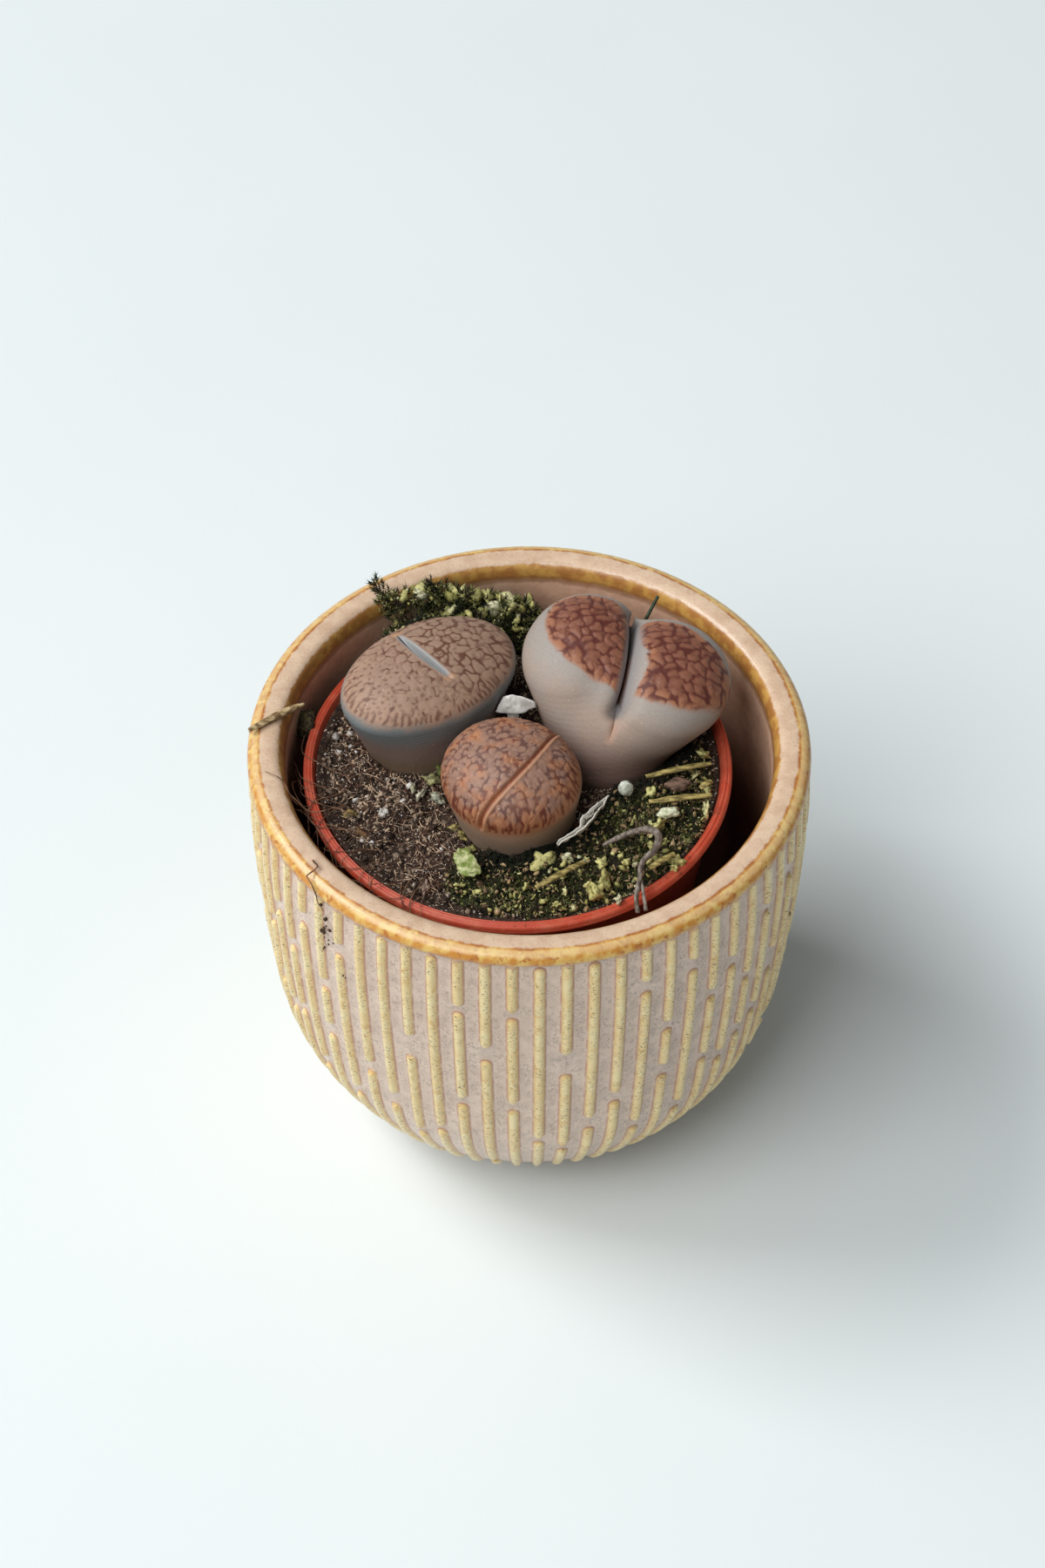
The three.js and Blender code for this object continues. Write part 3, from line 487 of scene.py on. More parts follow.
def lump(name, at, sizes, turn=0, rough=0.18, grain=0.8, seed=1, detail=4):
    """A rounded irregular lump."""
    deselect()
    bpy.ops.mesh.primitive_ico_sphere_add(subdivisions=detail, radius=MM)
    piece = take(name)
    p = places(piece)
    swell = 1 + rough * cloud(p, grain, seed) + 0.4 * rough * cloud(p, grain * 0.4, seed + 1)
    move(piece, turned(p * swell[:, None] * sizes, turn) + at)
    choose(piece)
    bpy.ops.object.shade_smooth()
    return piece


def model_of(piece):
    """Points and faces of a small piece that is to be copied; the piece itself goes."""
    model = (places(piece), [list(face.vertices) for face in piece.data.polygons])
    remove(piece)
    return model


def copies(name, model, at, up, sizes, shades, seed=0):
    """One piece of many copies of a small model, each turned so that its own z axis points up its own way."""
    points, faces = model
    count = len(at)
    chance = np.random.default_rng(seed)
    up = up / np.linalg.norm(up, axis=1, keepdims=True)
    side = np.cross(up, chance.normal(size=(count, 3)))
    side /= np.linalg.norm(side, axis=1, keepdims=True)
    axes = np.stack([side, np.cross(up, side), up], axis=1)
    scaled = points[None] * np.asarray(sizes, float).reshape(count, 1, -1)
    where = (np.einsum("nij,njk->nik", scaled, axes) + at[:, None]).reshape(-1, 3)
    loops = np.array([corner for face in faces for corner in face])
    starts = np.cumsum([0] + [len(face) for face in faces])[:-1]
    mesh = bpy.data.meshes.new(name)
    mesh.vertices.add(len(where))
    mesh.loops.add(len(loops) * count)
    mesh.polygons.add(len(faces) * count)
    steps = np.arange(count)[:, None]
    mesh.vertices.foreach_set("co", (where * MM).astype(np.float32).ravel())
    mesh.loops.foreach_set("vertex_index", (loops + steps * len(points)).astype(np.int32).ravel())
    mesh.polygons.foreach_set("loop_start", (starts + steps * len(loops)).astype(np.int32).ravel())
    mesh.update(calc_edges=True)
    mesh.validate()
    piece = bpy.data.objects.new(name, mesh)
    bpy.context.scene.collection.objects.link(piece)
    mark(piece, "shade", np.repeat(shades, len(points)))
    return piece


def strands(name, paths, sides=6):
    """Round tapered strands, each given as rows of x, y, z and radius."""
    deselect()
    bpy.ops.curve.primitive_nurbs_path_add()
    piece = take(name)
    bend = piece.data
    bend.splines.clear()
    bend.dimensions = "3D"
    bend.bevel_mode = "ROUND"
    bend.bevel_depth = MM
    bend.bevel_resolution = max(sides // 2 - 2, 0)
    bend.use_fill_caps = True
    for rows in paths:
        spline = bend.splines.new("POLY")
        spline.points.add(len(rows) - 1)
        for point, (x, y, z, radius) in zip(spline.points, rows):
            point.co = (x * MM, y * MM, z * MM, 1)
            point.radius = radius
    bpy.ops.object.convert(target="MESH")
    piece = take(name)
    close_up(piece, 0.0005)
    return piece


def with_radius(points, radii):
    """Rows of x, y, z and radius, the radius running through the given values."""
    share = np.linspace(0, 1, len(points))
    return np.column_stack([points, np.interp(share, np.linspace(0, 1, len(radii)), radii)])


def cup(name, outline, sides, x, y):
    """A round vessel: a filled circle that is extruded and scaled along an outline of radii and heights."""
    deselect()
    radius, height = outline[0]
    bpy.ops.mesh.primitive_circle_add(vertices=sides, radius=radius * MM, fill_type="TRIFAN",
                                      location=(x * MM, y * MM, height * MM))
    piece = take(name)
    bpy.ops.object.mode_set(mode="EDIT")
    bpy.ops.mesh.select_all(action="SELECT")
    for (r0, z0), (r1, z1) in zip(outline, outline[1:]):
        bpy.ops.mesh.extrude_region_move(TRANSFORM_OT_translate={"value": (0, 0, (z1 - z0) * MM)})
        bpy.ops.transform.resize(value=(r1 / r0, r1 / r0, 1), center_override=(x * MM, y * MM, z1 * MM))
    bpy.ops.mesh.select_all(action="SELECT")
    bpy.ops.mesh.normals_make_consistent(inside=False)
    bpy.ops.object.mode_set(mode="OBJECT")
    place_here(piece)
    return piece


# Materials

def linear(colour):
    """A colour given as it looks on a screen, as Blender counts it."""
    return tuple(c / 12.92 if c <= 0.04045 else ((c + 0.055) / 1.055) ** 2.4 for c in colour)[:3] + (1.0,)


def rgb(red, green, blue):
    return linear((red / 255, green / 255, blue / 255))


class Value:
    """A socket of a material, for sums and blends."""

    def __init__(self, finish, socket):
        self.finish = finish
        self.socket = socket

    def sum_with(self, operation, first, second):
        return self.finish.node("ShaderNodeMath", {"operation": operation}, {0: first, 1: second})

    def __add__(self, other):
        return self.sum_with("ADD", self, other)

    def __radd__(self, other):
        return self.sum_with("ADD", other, self)

    def __sub__(self, other):
        return self.sum_with("SUBTRACT", self, other)

    def __rsub__(self, other):
        return self.sum_with("SUBTRACT", other, self)

    def __mul__(self, other):
        return self.sum_with("MULTIPLY", self, other)

    def __rmul__(self, other):
        return self.sum_with("MULTIPLY", other, self)

    def __pow__(self, other):
        return self.sum_with("POWER", self, other)

    def most(self, other):
        return self.sum_with("MAXIMUM", self, other)

    def ease(self, low, high):
        """0 below low, 1 above high and smooth between; the other way round where low is above high."""
        if low > high:
            return 1 - self.ease(high, low)
        return self.finish.node("ShaderNodeMapRange", {"interpolation_type": "SMOOTHSTEP"},
                                {"Value": self, "From Min": low, "From Max": high})


class Finish:
    """A procedural material on the Principled shader."""

    def __init__(self, name, **fixed):
        self.material = bpy.data.materials.new(name)
        self.material.use_nodes = True
        self.tree = self.material.node_tree
        self.shader = next(node for node in self.tree.nodes if node.type == "BSDF_PRINCIPLED")
        for socket, value in fixed.items():
            self.shader.inputs[socket.replace("_", " ")].default_value = value
        self.here = self.node("ShaderNodeTexCoord", {}, {}, "Object")

    def node(self, kind, settings, inputs, output=0):
        """A node with its settings and the values or links of its sockets, as the value of one output."""
        made = self.tree.nodes.new(kind)
        for name, value in settings.items():
            setattr(made, name, value)
        for name, value in inputs.items():
            if isinstance(value, Value):
                self.tree.links.new(value.socket, made.inputs[name])
            else:
                made.inputs[name].default_value = value
        return Value(self, made.outputs[output])

    def feed(self, socket, value):
        self.tree.links.new(value.socket, self.shader.inputs[socket])

    def blend(self, share, a, b):
        """Colour a where the share is 0 and colour b where it is 1."""
        return self.node("ShaderNodeMix", {"data_type": "RGBA"}, {0: share, 6: a, 7: b}, 2)

    def layers(self, colour, *layers):
        """A colour with others laid over it, each given with its share."""
        for share, other in layers:
            colour = self.blend(share, colour, rgb(*other))
        return colour

    def wear(self, colour, rough, height, depth):
        """Feed the shader its colour, roughness and relief."""
        self.feed("Base Color", colour)
        self.feed("Roughness", rough)
        self.bump(height, depth)

    def darken(self, share, a, b):
        """Colour a multiplied by colour b, by a share."""
        return self.node("ShaderNodeMix", {"data_type": "RGBA", "blend_type": "MULTIPLY"}, {0: share, 6: a, 7: b}, 2)

    def stretched(self, x, y, z):
        """The place on the piece with each axis scaled."""
        return self.node("ShaderNodeVectorMath", {"operation": "MULTIPLY"}, {0: self.here, 1: (x, y, z)})

    def noise(self, size, detail=2.0, rough=0.5, at=None):
        """Soft noise from 0 to 1 with features of a size in millimetres."""
        return self.node("ShaderNodeTexNoise", {}, {"Vector": at or self.here, "Scale": 1 / (size * MM),
                                                    "Detail": detail, "Roughness": rough})

    def spots(self, size, at=None):
        """Distance from scattered spots, in units of their spacing in millimetres."""
        return self.node("ShaderNodeTexVoronoi", {}, {"Vector": at or self.here, "Scale": 1 / (size * MM)})

    def kept(self, name):
        """A number kept at the points of the mesh."""
        return self.node("ShaderNodeAttribute", {"attribute_name": name}, {}, "Fac")

    def axis(self, name):
        """One coordinate of the place on the piece, in millimetres."""
        return self.node("ShaderNodeSeparateXYZ", {}, {0: self.here}, name) * 1000.0

    def bump(self, height, depth):
        """Relief from a height of 0 to 1, as deep as given in millimetres."""
        self.feed("Normal", self.node("ShaderNodeBump", {}, {"Strength": 1.0, "Distance": depth * MM, "Height": height},
                                      "Normal"))


# Stoneware pot

def dash_breaks(step):
    """Breaks of a column as depths below the rim, the columns counted outwards from the mirror column."""
    if step < len(DASH_BREAKS):
        return DASH_BREAKS[step]
    number = math.sin(step * 127.1 + 5 * 74.7) * 43758.5453
    shift = 3 * (number - math.floor(number) - 0.5)
    row = DASH_BREAKS[(step * 5 + 3) % len(DASH_BREAKS)]
    return [(low, high) if low == 0 else (low + shift, high + shift) for low, high in row]


def glaze(look):
    finish = Finish("stoneware_glaze", Specular_IOR_Level=0.45, Coat_Weight=0.35, Coat_Roughness=0.1)
    down, side, gap = finish.kept("down"), finish.kept("side"), finish.kept("gap")
    beyond = gap.most(0.0)
    wobble = finish.noise(1.1, 2) - 0.5
    rib = (((side * side + beyond * beyond) ** 0.5) - 1 + wobble * 0.16) * 0.72
    on_wall = down.ease(3.0, 3.6)
    mottle, fine = finish.noise(2.6, 4, 0.62), finish.noise(0.32, 3, 0.6)

    def hairs(size, half):
        """Thin wandering scratches along one level of a noise."""
        level = finish.noise(size, 3, 0.55) - 0.5
        return level.most(0.0 - level).ease(half, half * 0.3)

    ground = finish.layers(
        finish.blend(mottle.ease(0.36, 0.66), rgb(208, 184, 166), linear(look.ground)),
        (fine.ease(0.5, 0.75) * 0.5, (238, 220, 204)),
        (hairs(1.0, 0.03) * finish.noise(2.2, 2).ease(0.4, 0.55) * 0.7, (154, 130, 118)),
        (finish.noise(0.4, 3, 0.7, finish.stretched(1, 1, 0.5)).ease(0.52, 0.7) * 0.6, (176, 148, 134)),
        (finish.noise(0.3, 1).ease(0.76, 0.8), (112, 84, 62)))
    flat = finish.stretched(1, 1, 2.6)
    bar = finish.layers(
        finish.blend(finish.noise(3.5, 2).ease(0.35, 0.7), linear(look.rib), rgb(244, 224, 168)),
        (finish.noise(1.2, 3).ease(0.55, 0.72) * 0.7, (220, 172, 92)),
        (finish.noise(0.5, 2, 0.5, flat).ease(0.6, 0.7) * 0.45, (196, 150, 84)),
        (finish.noise(0.36, 2, 0.5, flat).ease(0.6, 0.65) * finish.noise(3, 1).ease(0.3, 0.5), (98, 64, 36)),
        (rib.ease(-0.3, -0.02) * 0.5, (220, 176, 112)))
    line = rib.ease(-0.1, 0.03) * rib.ease(0.26, 0.09)
    colour = finish.blend(rib.ease(0.06, -0.06) * on_wall, ground, bar)
    colour = finish.layers(colour, (rib.ease(0.75, 0.15) * rib.ease(-0.05, 0.1) * on_wall * 0.35, (236, 210, 190)))
    colour = finish.blend(line * on_wall * finish.noise(1.6, 2).ease(0.25, 0.55) * 0.85, colour, linear(look.outline))
    drip = finish.noise(2.4, 2) * 1.6
    top = finish.layers(
        finish.blend(mottle.ease(0.35, 0.7), linear(look.rim), rgb(210, 178, 150)),
        (finish.noise(0.28, 3).ease(0.56, 0.68) * 0.4, (178, 138, 112)))
    colour = finish.blend(down.ease(0.9, 0.3), colour, top)
    # The amber holds a painted highlight: a pale streak along the rounded outer edge of the rim.
    amber = finish.layers(
        finish.blend(finish.noise(1.5, 3, 0.6).ease(0.36, 0.6), rgb(226, 186, 102), linear(look.amber)),
        (finish.noise(1.0, 3, 0.6).ease(0.54, 0.66) * 0.9, (178, 106, 42)),
        ((down + wobble).ease(1.9, 1.2) * (down - 0.4).ease(0.0, 0.4) * 0.45, (248, 224, 170)))
    edged, sagged, pooled = down + wobble * 0.5, down - drip, down + drip * 0.5
    colour = finish.blend(edged.ease(0.2, 0.5) * sagged.ease(2.5, 1.7), colour, amber)
    colour = finish.layers(
        colour,
        (edged.ease(0.1, 0.35) * edged.ease(0.75, 0.45) * mottle.ease(0.4, 0.6) * 0.8, (170, 98, 44)),
        (sagged.ease(1.8, 2.3) * sagged.ease(3.0, 2.5) * 0.65, (196, 140, 92)))
    height = finish.axis("Z")
    # Inside wall; its colour darkens lower down as painted shade deep in the pot.
    hollow = finish.layers(
        finish.blend(mottle.ease(0.3, 0.7), linear(look.inside), rgb(224, 182, 152)),
        (height.ease(55.0, 36.0), (116, 80, 64)))
    colour = finish.blend((down + wobble).ease(-3.4, -3.9), colour, hollow)
    lip = finish.blend(finish.noise(1.8, 3).ease(0.36, 0.62), rgb(206, 158, 82), rgb(176, 120, 62))
    colour = finish.blend((down + wobble * 0.8).ease(-1.95, -2.35) * pooled.ease(-4.3, -3.5), colour, lip)
    base = height.ease(0.35, 0.1)
    colour = finish.layers(
        colour,
        (pooled.ease(-3.2, -3.8) * pooled.ease(-4.8, -4.2) * 0.6, (134, 88, 52)),
        (base, (206, 190, 168)))
    finish.wear(colour, (0.3 + fine * 0.14 + mottle * 0.08).most(base * 0.8),
                fine * 0.5 + finish.noise(0.9, 3, 0.6) * 0.8 + finish.noise(0.14, 2) * 0.2, 0.07)
    return finish


class LITHOPS_OT_outer_pot(Operator):
    """Build the stoneware pot with its raised dashes and glazed rim"""
    bl_idname = "lithops.outer_pot"
    bl_label = "Stoneware pot"

    def execute(self, context):
        look = context.scene.lithops_stoneware
        rib_height, rib_half = look.rib_height / MM, look.rib_half / MM
        pitch, half_round = 2 * math.pi / RIB_COLUMNS, RIB_COLUMNS // 2
        level = np.linspace(BAND_LEVEL, 0.2, 900)
        run = np.concatenate([[0], np.cumsum(np.hypot(np.diff(level), np.diff(curve(POT_WALL, level))))])

        def run_at(depth):
            return np.interp(POT_HEIGHT - depth, level[::-1], run[::-1])

        columns = []
        for column in range(RIB_COLUMNS):
            dashes, start = [], -FAR
            for low, high in dash_breaks(abs((column - MIRROR_COLUMN + half_round) % RIB_COLUMNS - half_round)):
                if low > 0:
                    dashes.append((start, run_at(low)))
                start = run_at(high)
            dashes.append((start, run_at(DASH_END)))
            ends = [end for dash in dashes for end in dash if end > 0]
            # The rows lie closer together under the rim and at the ends of the dashes
            columns.append((dashes, spread(WALL_ROWS, 0, run[-1], lambda a: 1 + 1.6 * np.exp(-(a / 0.6) ** 2) + sum(
                2.6 * np.exp(-(((a - end) / 0.9) ** 2)) for end in ends))))
        parts = {key: [] for key in ("radius", "height", "angle", "side", "gap", "down")}
        for column, (dashes, own_run) in enumerate(columns):
            for fraction in ACROSS:
                a = own_run if fraction < 0.5 else (own_run + columns[(column + 1) % RIB_COLUMNS][1]) / 2
                height = np.interp(a, run, level)
                wall = curve(POT_WALL, height)
                half = np.minimum(rib_half, 0.245 * pitch * wall)
                gap = np.min([np.maximum(low + half - a, a - high + half) for low, high in dashes], axis=0)
                across = abs(fraction) * pitch * wall
                beyond = np.hypot(across, np.maximum(gap, 0)) - half
                lift = ease(-np.minimum(beyond, a), -0.12, 0.42)
                angle = np.full(WALL_ROWS, math.radians(RIB_TURN) + (column + fraction) * pitch)
                wave = 0.09 * cloud(np.column_stack([wall * np.sin(angle), wall * np.cos(angle), height]), 11, 3)
                radius = wall - rib_height * ease(height, 0, 3) * (1 - lift) + (wave - 0.06) * ease(a, 0, 4)
                for key, values in zip(parts, (radius, height, angle, across / half, gap / half, BAND_WAY + a)):
                    parts[key].append(values[::-1])
        wall = {key: np.array(values).T for key, values in parts.items()}
        wide = wall["radius"].shape[1]
        above = POT_RIM + [(float(curve(POT_HOLLOW, z)), z) for z in HOLLOW_LEVELS] + INNER_FLOOR
        outline = np.array(above, float)
        steps = np.concatenate([[0], np.cumsum(np.hypot(*np.diff(outline, axis=0).T))])
        down = steps[6] - steps
        angle = wall["angle"][:1]

        def ring(points, values):
            points, away = np.array(points, float), np.full((len(points), wide), FAR)
            return {"radius": points[:, :1] + np.zeros(wide), "height": points[:, 1:] + np.zeros(wide),
                    "angle": np.repeat(angle, len(points), axis=0), "side": away, "gap": away,
                    "down": np.array(values)[:, None] + np.zeros(wide)}

        # The foot, the wall and the rim with the hollow are one skin, from the middle below to the middle inside
        layers = [ring(FOOT_RING, [10 * FAR] * len(FOOT_RING)), wall, ring(above, down)]
        whole = {key: np.vstack([layer[key] for layer in layers]) for key in wall}
        whole = {key: np.hstack([values, values[:, :1]]) for key, values in whole.items()}
        piece, s, t = grid("stoneware_pot", wide, len(whole["radius"]) - 1)
        radius, height, angle = (whole[key][t, s] for key in ("radius", "height", "angle"))
        move(piece, np.column_stack([radius * np.sin(angle), -radius * np.cos(angle), height]))
        for key in ("side", "gap", "down"):
            mark(piece, key, whole[key][t, s])
        close_up(piece)
        settle(piece, glaze(look), "stoneware", "outer_pot")
        return {"FINISHED"}


# Nursery pot

class LITHOPS_OT_nursery_pot(Operator):
    """Build the thin plastic nursery pot with its rolled rim and drain holes"""
    bl_idname = "lithops.nursery_pot"
    bl_label = "Nursery pot"

    def execute(self, context):
        look = context.scene.lithops_plastic
        piece = cup("nursery_pot_plastic", NURSERY_OUTLINE, NURSERY_SIDES, NURSERY_X, NURSERY_Y)
        for quarter in range(4):
            a = math.radians(45 + 90 * quarter)
            deselect()
            x, y = NURSERY_X + DRAIN_RING * math.cos(a), NURSERY_Y + DRAIN_RING * math.sin(a)
            bpy.ops.mesh.primitive_cylinder_add(vertices=28, radius=DRAIN_RADIUS * MM, depth=4 * MM,
                                                location=(x * MM, y * MM, DRAIN_HEIGHT * MM))
            drill = take("drill")
            apply_modifier(piece, "BOOLEAN", operation="DIFFERENCE", object=drill)
            remove(drill)
        choose(piece)
        bpy.ops.object.shade_smooth_by_angle(angle=math.radians(50))
        finish = Finish("terracotta_plastic", Specular_IOR_Level=0.45)
        dust, scuff = finish.noise(2.2, 4, 0.65), finish.noise(0.35, 3, 0.6)
        # The plastic turns dark red below the rim: painted shade where the wall stands in the gap inside the stoneware
        # pot.
        colour = finish.layers(
            finish.blend(dust.ease(0.42, 0.72) * 0.6, linear(look.colour), linear(look.worn)),
            (scuff.ease(0.6, 0.72) * 0.35, (214, 150, 124)),
            (finish.noise(1.3, 4, 0.7).ease(0.62, 0.7) * 0.6, (84, 44, 34)),
            (finish.axis("Z").ease(56.7, 55.8) * 0.8, (80, 26, 18)))
        finish.wear(colour, 0.34 + dust * 0.25, scuff * 0.6 + finish.noise(0.9, 2) * 0.5, 0.03)
        settle(piece, finish, "nursery_plastic", "nursery_pot")
        return {"FINISHED"}


# Soil

def soil_height(x, y):
    return SOIL_TOP + 0.3 * np.sin(x * 0.55 + 1) * np.cos(y * 0.47) + 0.2 * np.sin(x * 1.1 - y * 0.9)


def rough_soil(x, y):
    """Height of the soil with its lumps."""
    p = np.column_stack([x, y, np.zeros(len(x))])
    return soil_height(x, y) + 0.34 * cloud(p, 2.3, 5) + 0.26 * cloud(p, 1.1, 6) + 0.14 * cloud(p, 0.5, 7) - 0.15


def peat(look):
    finish = Finish("peat", Specular_IOR_Level=0.25)
    fibre = finish.noise(0.55, 5, 0.7, finish.stretched(1, 0.45, 1))
    grit = finish.noise(0.22, 3, 0.65)
    colour = finish.blend(fibre.ease(0.4, 0.68), linear(look.soil_dark), rgb(80, 56, 42))
    colour = finish.layers(
        finish.blend(grit.ease(0.52, 0.74) * 0.8, colour, linear(look.soil_light)),
        (finish.spots(0.62).ease(0.24, 0.14), (214, 202, 188)),
        (finish.noise(4.5, 2).ease(0.4, 0.7) * 0.45, (66, 50, 42)))
    finish.wear(colour, 0.75 + grit * 0.2, fibre * 0.7 + grit * 0.6, 0.35)
    return finish


def crumb_finish(name, dark, light, rough=0.85):
    """A finish for copies, each with its own shade between two colours."""
    finish = Finish(name, Specular_IOR_Level=0.3)
    colour = finish.blend(finish.kept("shade"), dark, light)
    colour = finish.darken(finish.noise(0.3, 3, 0.6).ease(0.35, 0.7) * 0.6, colour, rgb(120, 100, 86))
    colour = finish.layers(colour, (finish.spots(0.5).ease(0.22, 0.12) * 0.8, (226, 212, 196)))
    finish.wear(colour, rough + (finish.noise(0.4, 2) - 0.5) * 0.2, finish.noise(0.16, 3, 0.6), 0.06)
    return finish


def plant_gap(points, plant):
    """Distance outside a plant's skin in its own axes, below 0 inside it."""
    def ellipsoid(at, radii):
        q = (points - at) / radii
        return (np.sqrt((q * q).sum(axis=1)) - 1) * min(radii)

    def chain(stations):
        gap = np.full(len(points), 99.0)
        for (at0, r0), (at1, r1), steps in zip(stations, stations[1:], (14, 6)):
            for share in np.linspace(0, 1, steps + 1):
                gap = np.minimum(gap, ellipsoid(mix(np.array(at0, float), np.array(at1, float), share),
                                                mix(np.array(r0, float), np.array(r1, float), share)))
        return gap

    gaps = [chain([lobe, plant["neck"], plant["foot"]]) for lobe in plant["lobes"]]
    body = gaps[0] if len(gaps) == 1 else blend_least(gaps[0], gaps[1], plant["blend"])
    return -blend_least(-body, slit_gap(points, plant["slit"]), plant["slit"]["lip"])


def blend_least(a, b, width):
    h = np.clip(0.5 + 0.5 * (b - a) / width, 0, 1)
    return b * (1 - h) + a * h - width * h * (1 - h)


def off_plane(points, slit):
    """Distance to one side of the middle of a fissure."""
    start, along, bend, up = slit["plane"]
    return points[:, 1] - start - along * points[:, 0] - bend * points[:, 0] ** 2 - up * points[:, 2]


def slit_gap(points, slit):
    """Distance outside the blade of a fissure."""
    above = points[:, 2] - slit["floor"] - slit["rise"] * ease(points[:, 0], slit["from"] + 6, slit["from"])
    beyond = np.maximum(np.maximum(slit["from"] - points[:, 0], points[:, 0] - slit["to"]), 0)
    middle, half = (slit["from"] + slit["to"]) / 2, (slit["to"] - slit["from"]) / 2
    open_by = slit["lens"] * np.maximum(1 - ((points[:, 0] - middle) / half) ** 2, 0)
    return np.sqrt(off_plane(points, slit) ** 2 + np.minimum(above, 0) ** 2 + beyond**2) - slit["width"] \
        - open_by - slit["flare"] * np.maximum(above, 0)


def to_plant(points, plant):
    return turned(np.asarray(points) - plant["centre"], -plant["turn"])


def from_plant(points, plant):
    return turned(points, plant["turn"]) + plant["centre"]


def nearest_plant(points):
    return np.min([plant_gap(to_plant(points, plant), plant) for plant in PLANTS.values()], axis=0)


def over_soil(count, seed, outer=25.4, keep=None):
    """Random places on the soil, clear of the plants."""
    chance = np.random.default_rng(seed)
    r, a = outer * np.sqrt(chance.random(count * 3)), 2 * math.pi * chance.random(count * 3)
    x, y = NURSERY_X + r * np.cos(a), NURSERY_Y + r * np.sin(a)
    points = np.column_stack([x, y, rough_soil(x, y) + 0.6 * ease(r, *BRIM)])
    kept = nearest_plant(points) > 0.1
    if keep is not None:
        kept &= keep(points)
    return points[kept][:count]


def fewer_beyond(points, x, seed, share):
    """All the points on the left of x and a share of those on its right."""
    return (points[:, 0] < x) | (np.random.default_rng(seed).random(len(points)) < share)


class LITHOPS_OT_soil(Operator):
    """Build the peat in the nursery pot with its crumbs, fibres and white grains"""
    bl_idname = "lithops.soil"
    bl_label = "Soil"

    def execute(self, context):
        look = context.scene.lithops_ground
        outline = np.array(SOIL_SIDE + [(r, SOIL_TOP) for r in np.linspace(26.0, 0, 92)], float)
        piece, s, t = grid("peat_soil", SOIL_COLUMNS, len(outline) - 1)
        angle = s / SOIL_COLUMNS * 2 * math.pi
        x = NURSERY_X + outline[t, 0] * np.cos(angle)
        y = NURSERY_Y + outline[t, 0] * np.sin(angle)
        brim = ease(outline[t, 0], *BRIM)
        z = np.where(t < len(SOIL_SIDE), outline[t, 1], mix(rough_soil(x, y), BRIM_TOP, brim))
        move(piece, np.column_stack([x, y, z]))
        close_up(piece)
        settle(piece, peat(look), "soil", "soil")

        # Crumbs
        chance = np.random.default_rng(41)
        points = over_soil(look.crumbs, 2, keep=lambda p: fewer_beyond(p, 2, 3, 0.35))
        count = len(points)
        deselect()
        bpy.ops.mesh.primitive_cube_add(size=1.3 * MM)
        cube, faces = model_of(take("crumb"))
        model = (cube * (0.45 + 0.9 * chance.random((8, 3))), faces)
        shades = chance.random(count) ** 2.6
        sizes = ((0.1 + 0.36 * chance.random(count) ** 3) * (1.1 - 0.5 * shades))[:, None]
        crumbs = copies("peat_crumbs", model, points + (0, 0, 0.1), chance.normal(size=(count, 3)) + (0, 0, 1.2),
                        sizes * (0.3 + 1.3 * chance.random((count, 3))), shades, 42)
        settle(crumbs, crumb_finish("peat_crumb", rgb(54, 37, 29), rgb(232, 206, 178)), "soil")

        # White grains
        points = over_soil(look.grains, 8, keep=lambda p: fewer_beyond(p, 3, 4, 0.4))
        count = len(points)
        sizes = (0.05 + 0.17 * chance.random(count) ** 3)[:, None] * (0.7 + 0.6 * chance.random((count, 3)))
        larger = np.array(WHITE_GRAINS)
        sizes = np.vstack([sizes, larger[:, 2:]])
        larger = np.column_stack([larger[:, :2], rough_soil(larger[:, 0], larger[:, 1]) + 0.25])
        points = np.vstack([points + (0, 0, 0.08), larger])
        grains = copies("white_grains", model, points, chance.normal(size=(len(points), 3)) + (0, 0, 2), sizes,
                        0.35 + 0.65 * chance.random(len(points)), 43)
        settle(grains, crumb_finish("quartz", rgb(148, 138, 128), rgb(240, 238, 234), 0.55), "perlite")

        # Fibres, each a bent path of a few points
        roots = over_soil(look.fibres, 15, 24.0)
        paths = []
        for x, y, z in roots:
            heading, length = 2 * math.pi * chance.random(), 0.6 + 5.5 * chance.random() ** 4
            share = np.linspace(-0.5, 0.5, 4)
            bend = (chance.random() - 0.5) * 2.6
            a = heading + bend * share
            fx, fy = x + length * share * np.cos(a), y + length * share * np.sin(a)
            fz = rough_soil(fx, fy) + 0.15 + 0.9 * chance.random() * (0.5 - abs(share))
            thick = 0.035 + 0.05 * chance.random() ** 3
            paths.append(with_radius(np.column_stack([fx, fy, fz]), [thick * 0.5, thick, thick * 0.4]))
        fibres = strands("peat_fibres", paths, 4)
        finish = Finish("fibre", Specular_IOR_Level=0.3, Roughness=0.7)
        colour = finish.blend(finish.noise(0.9, 2).ease(0.42, 0.6), rgb(104, 68, 52), rgb(234, 204, 172))
        finish.feed("Base Color", colour)
        finish.bump(finish.noise(0.2, 2), 0.03)
        settle(fibres, finish, "soil")

        for k, ((x, y), size, tone) in enumerate(SOIL_BITS):
            name = f"soil_bit_{k + 1}"
            top = float(rough_soil(np.array([x]), np.array([y]))[0])
            bit = lump(name, (x, y, top + size[2] + 0.1), size, 40 * k, 0.8, 0.5, 60 + k, 3)
            settle(bit, plain_finish(name, rgb(*tone), rgb(*(n * 0.55 for n in tone)), 0.5, 0.7, 0.15), "soil")
        return {"FINISHED"}


# Stone plants

def outline_edge(u, v, outline, centre):
    """Distance inside a rounded outline, along the line to its middle."""
    outline = np.array(outline, float) + centre[:2]
    middle = outline.mean(axis=0)
    away = outline - middle
    order = np.argsort(np.arctan2(away[:, 1], away[:, 0]))
    angles, reach = np.arctan2(away[:, 1], away[:, 0])[order], np.hypot(*away.T)[order]
    du, dv = u - middle[0], v - middle[1]
    return np.interp(np.arctan2(dv, du), angles, reach, period=2 * math.pi) - np.hypot(du, dv), du, dv


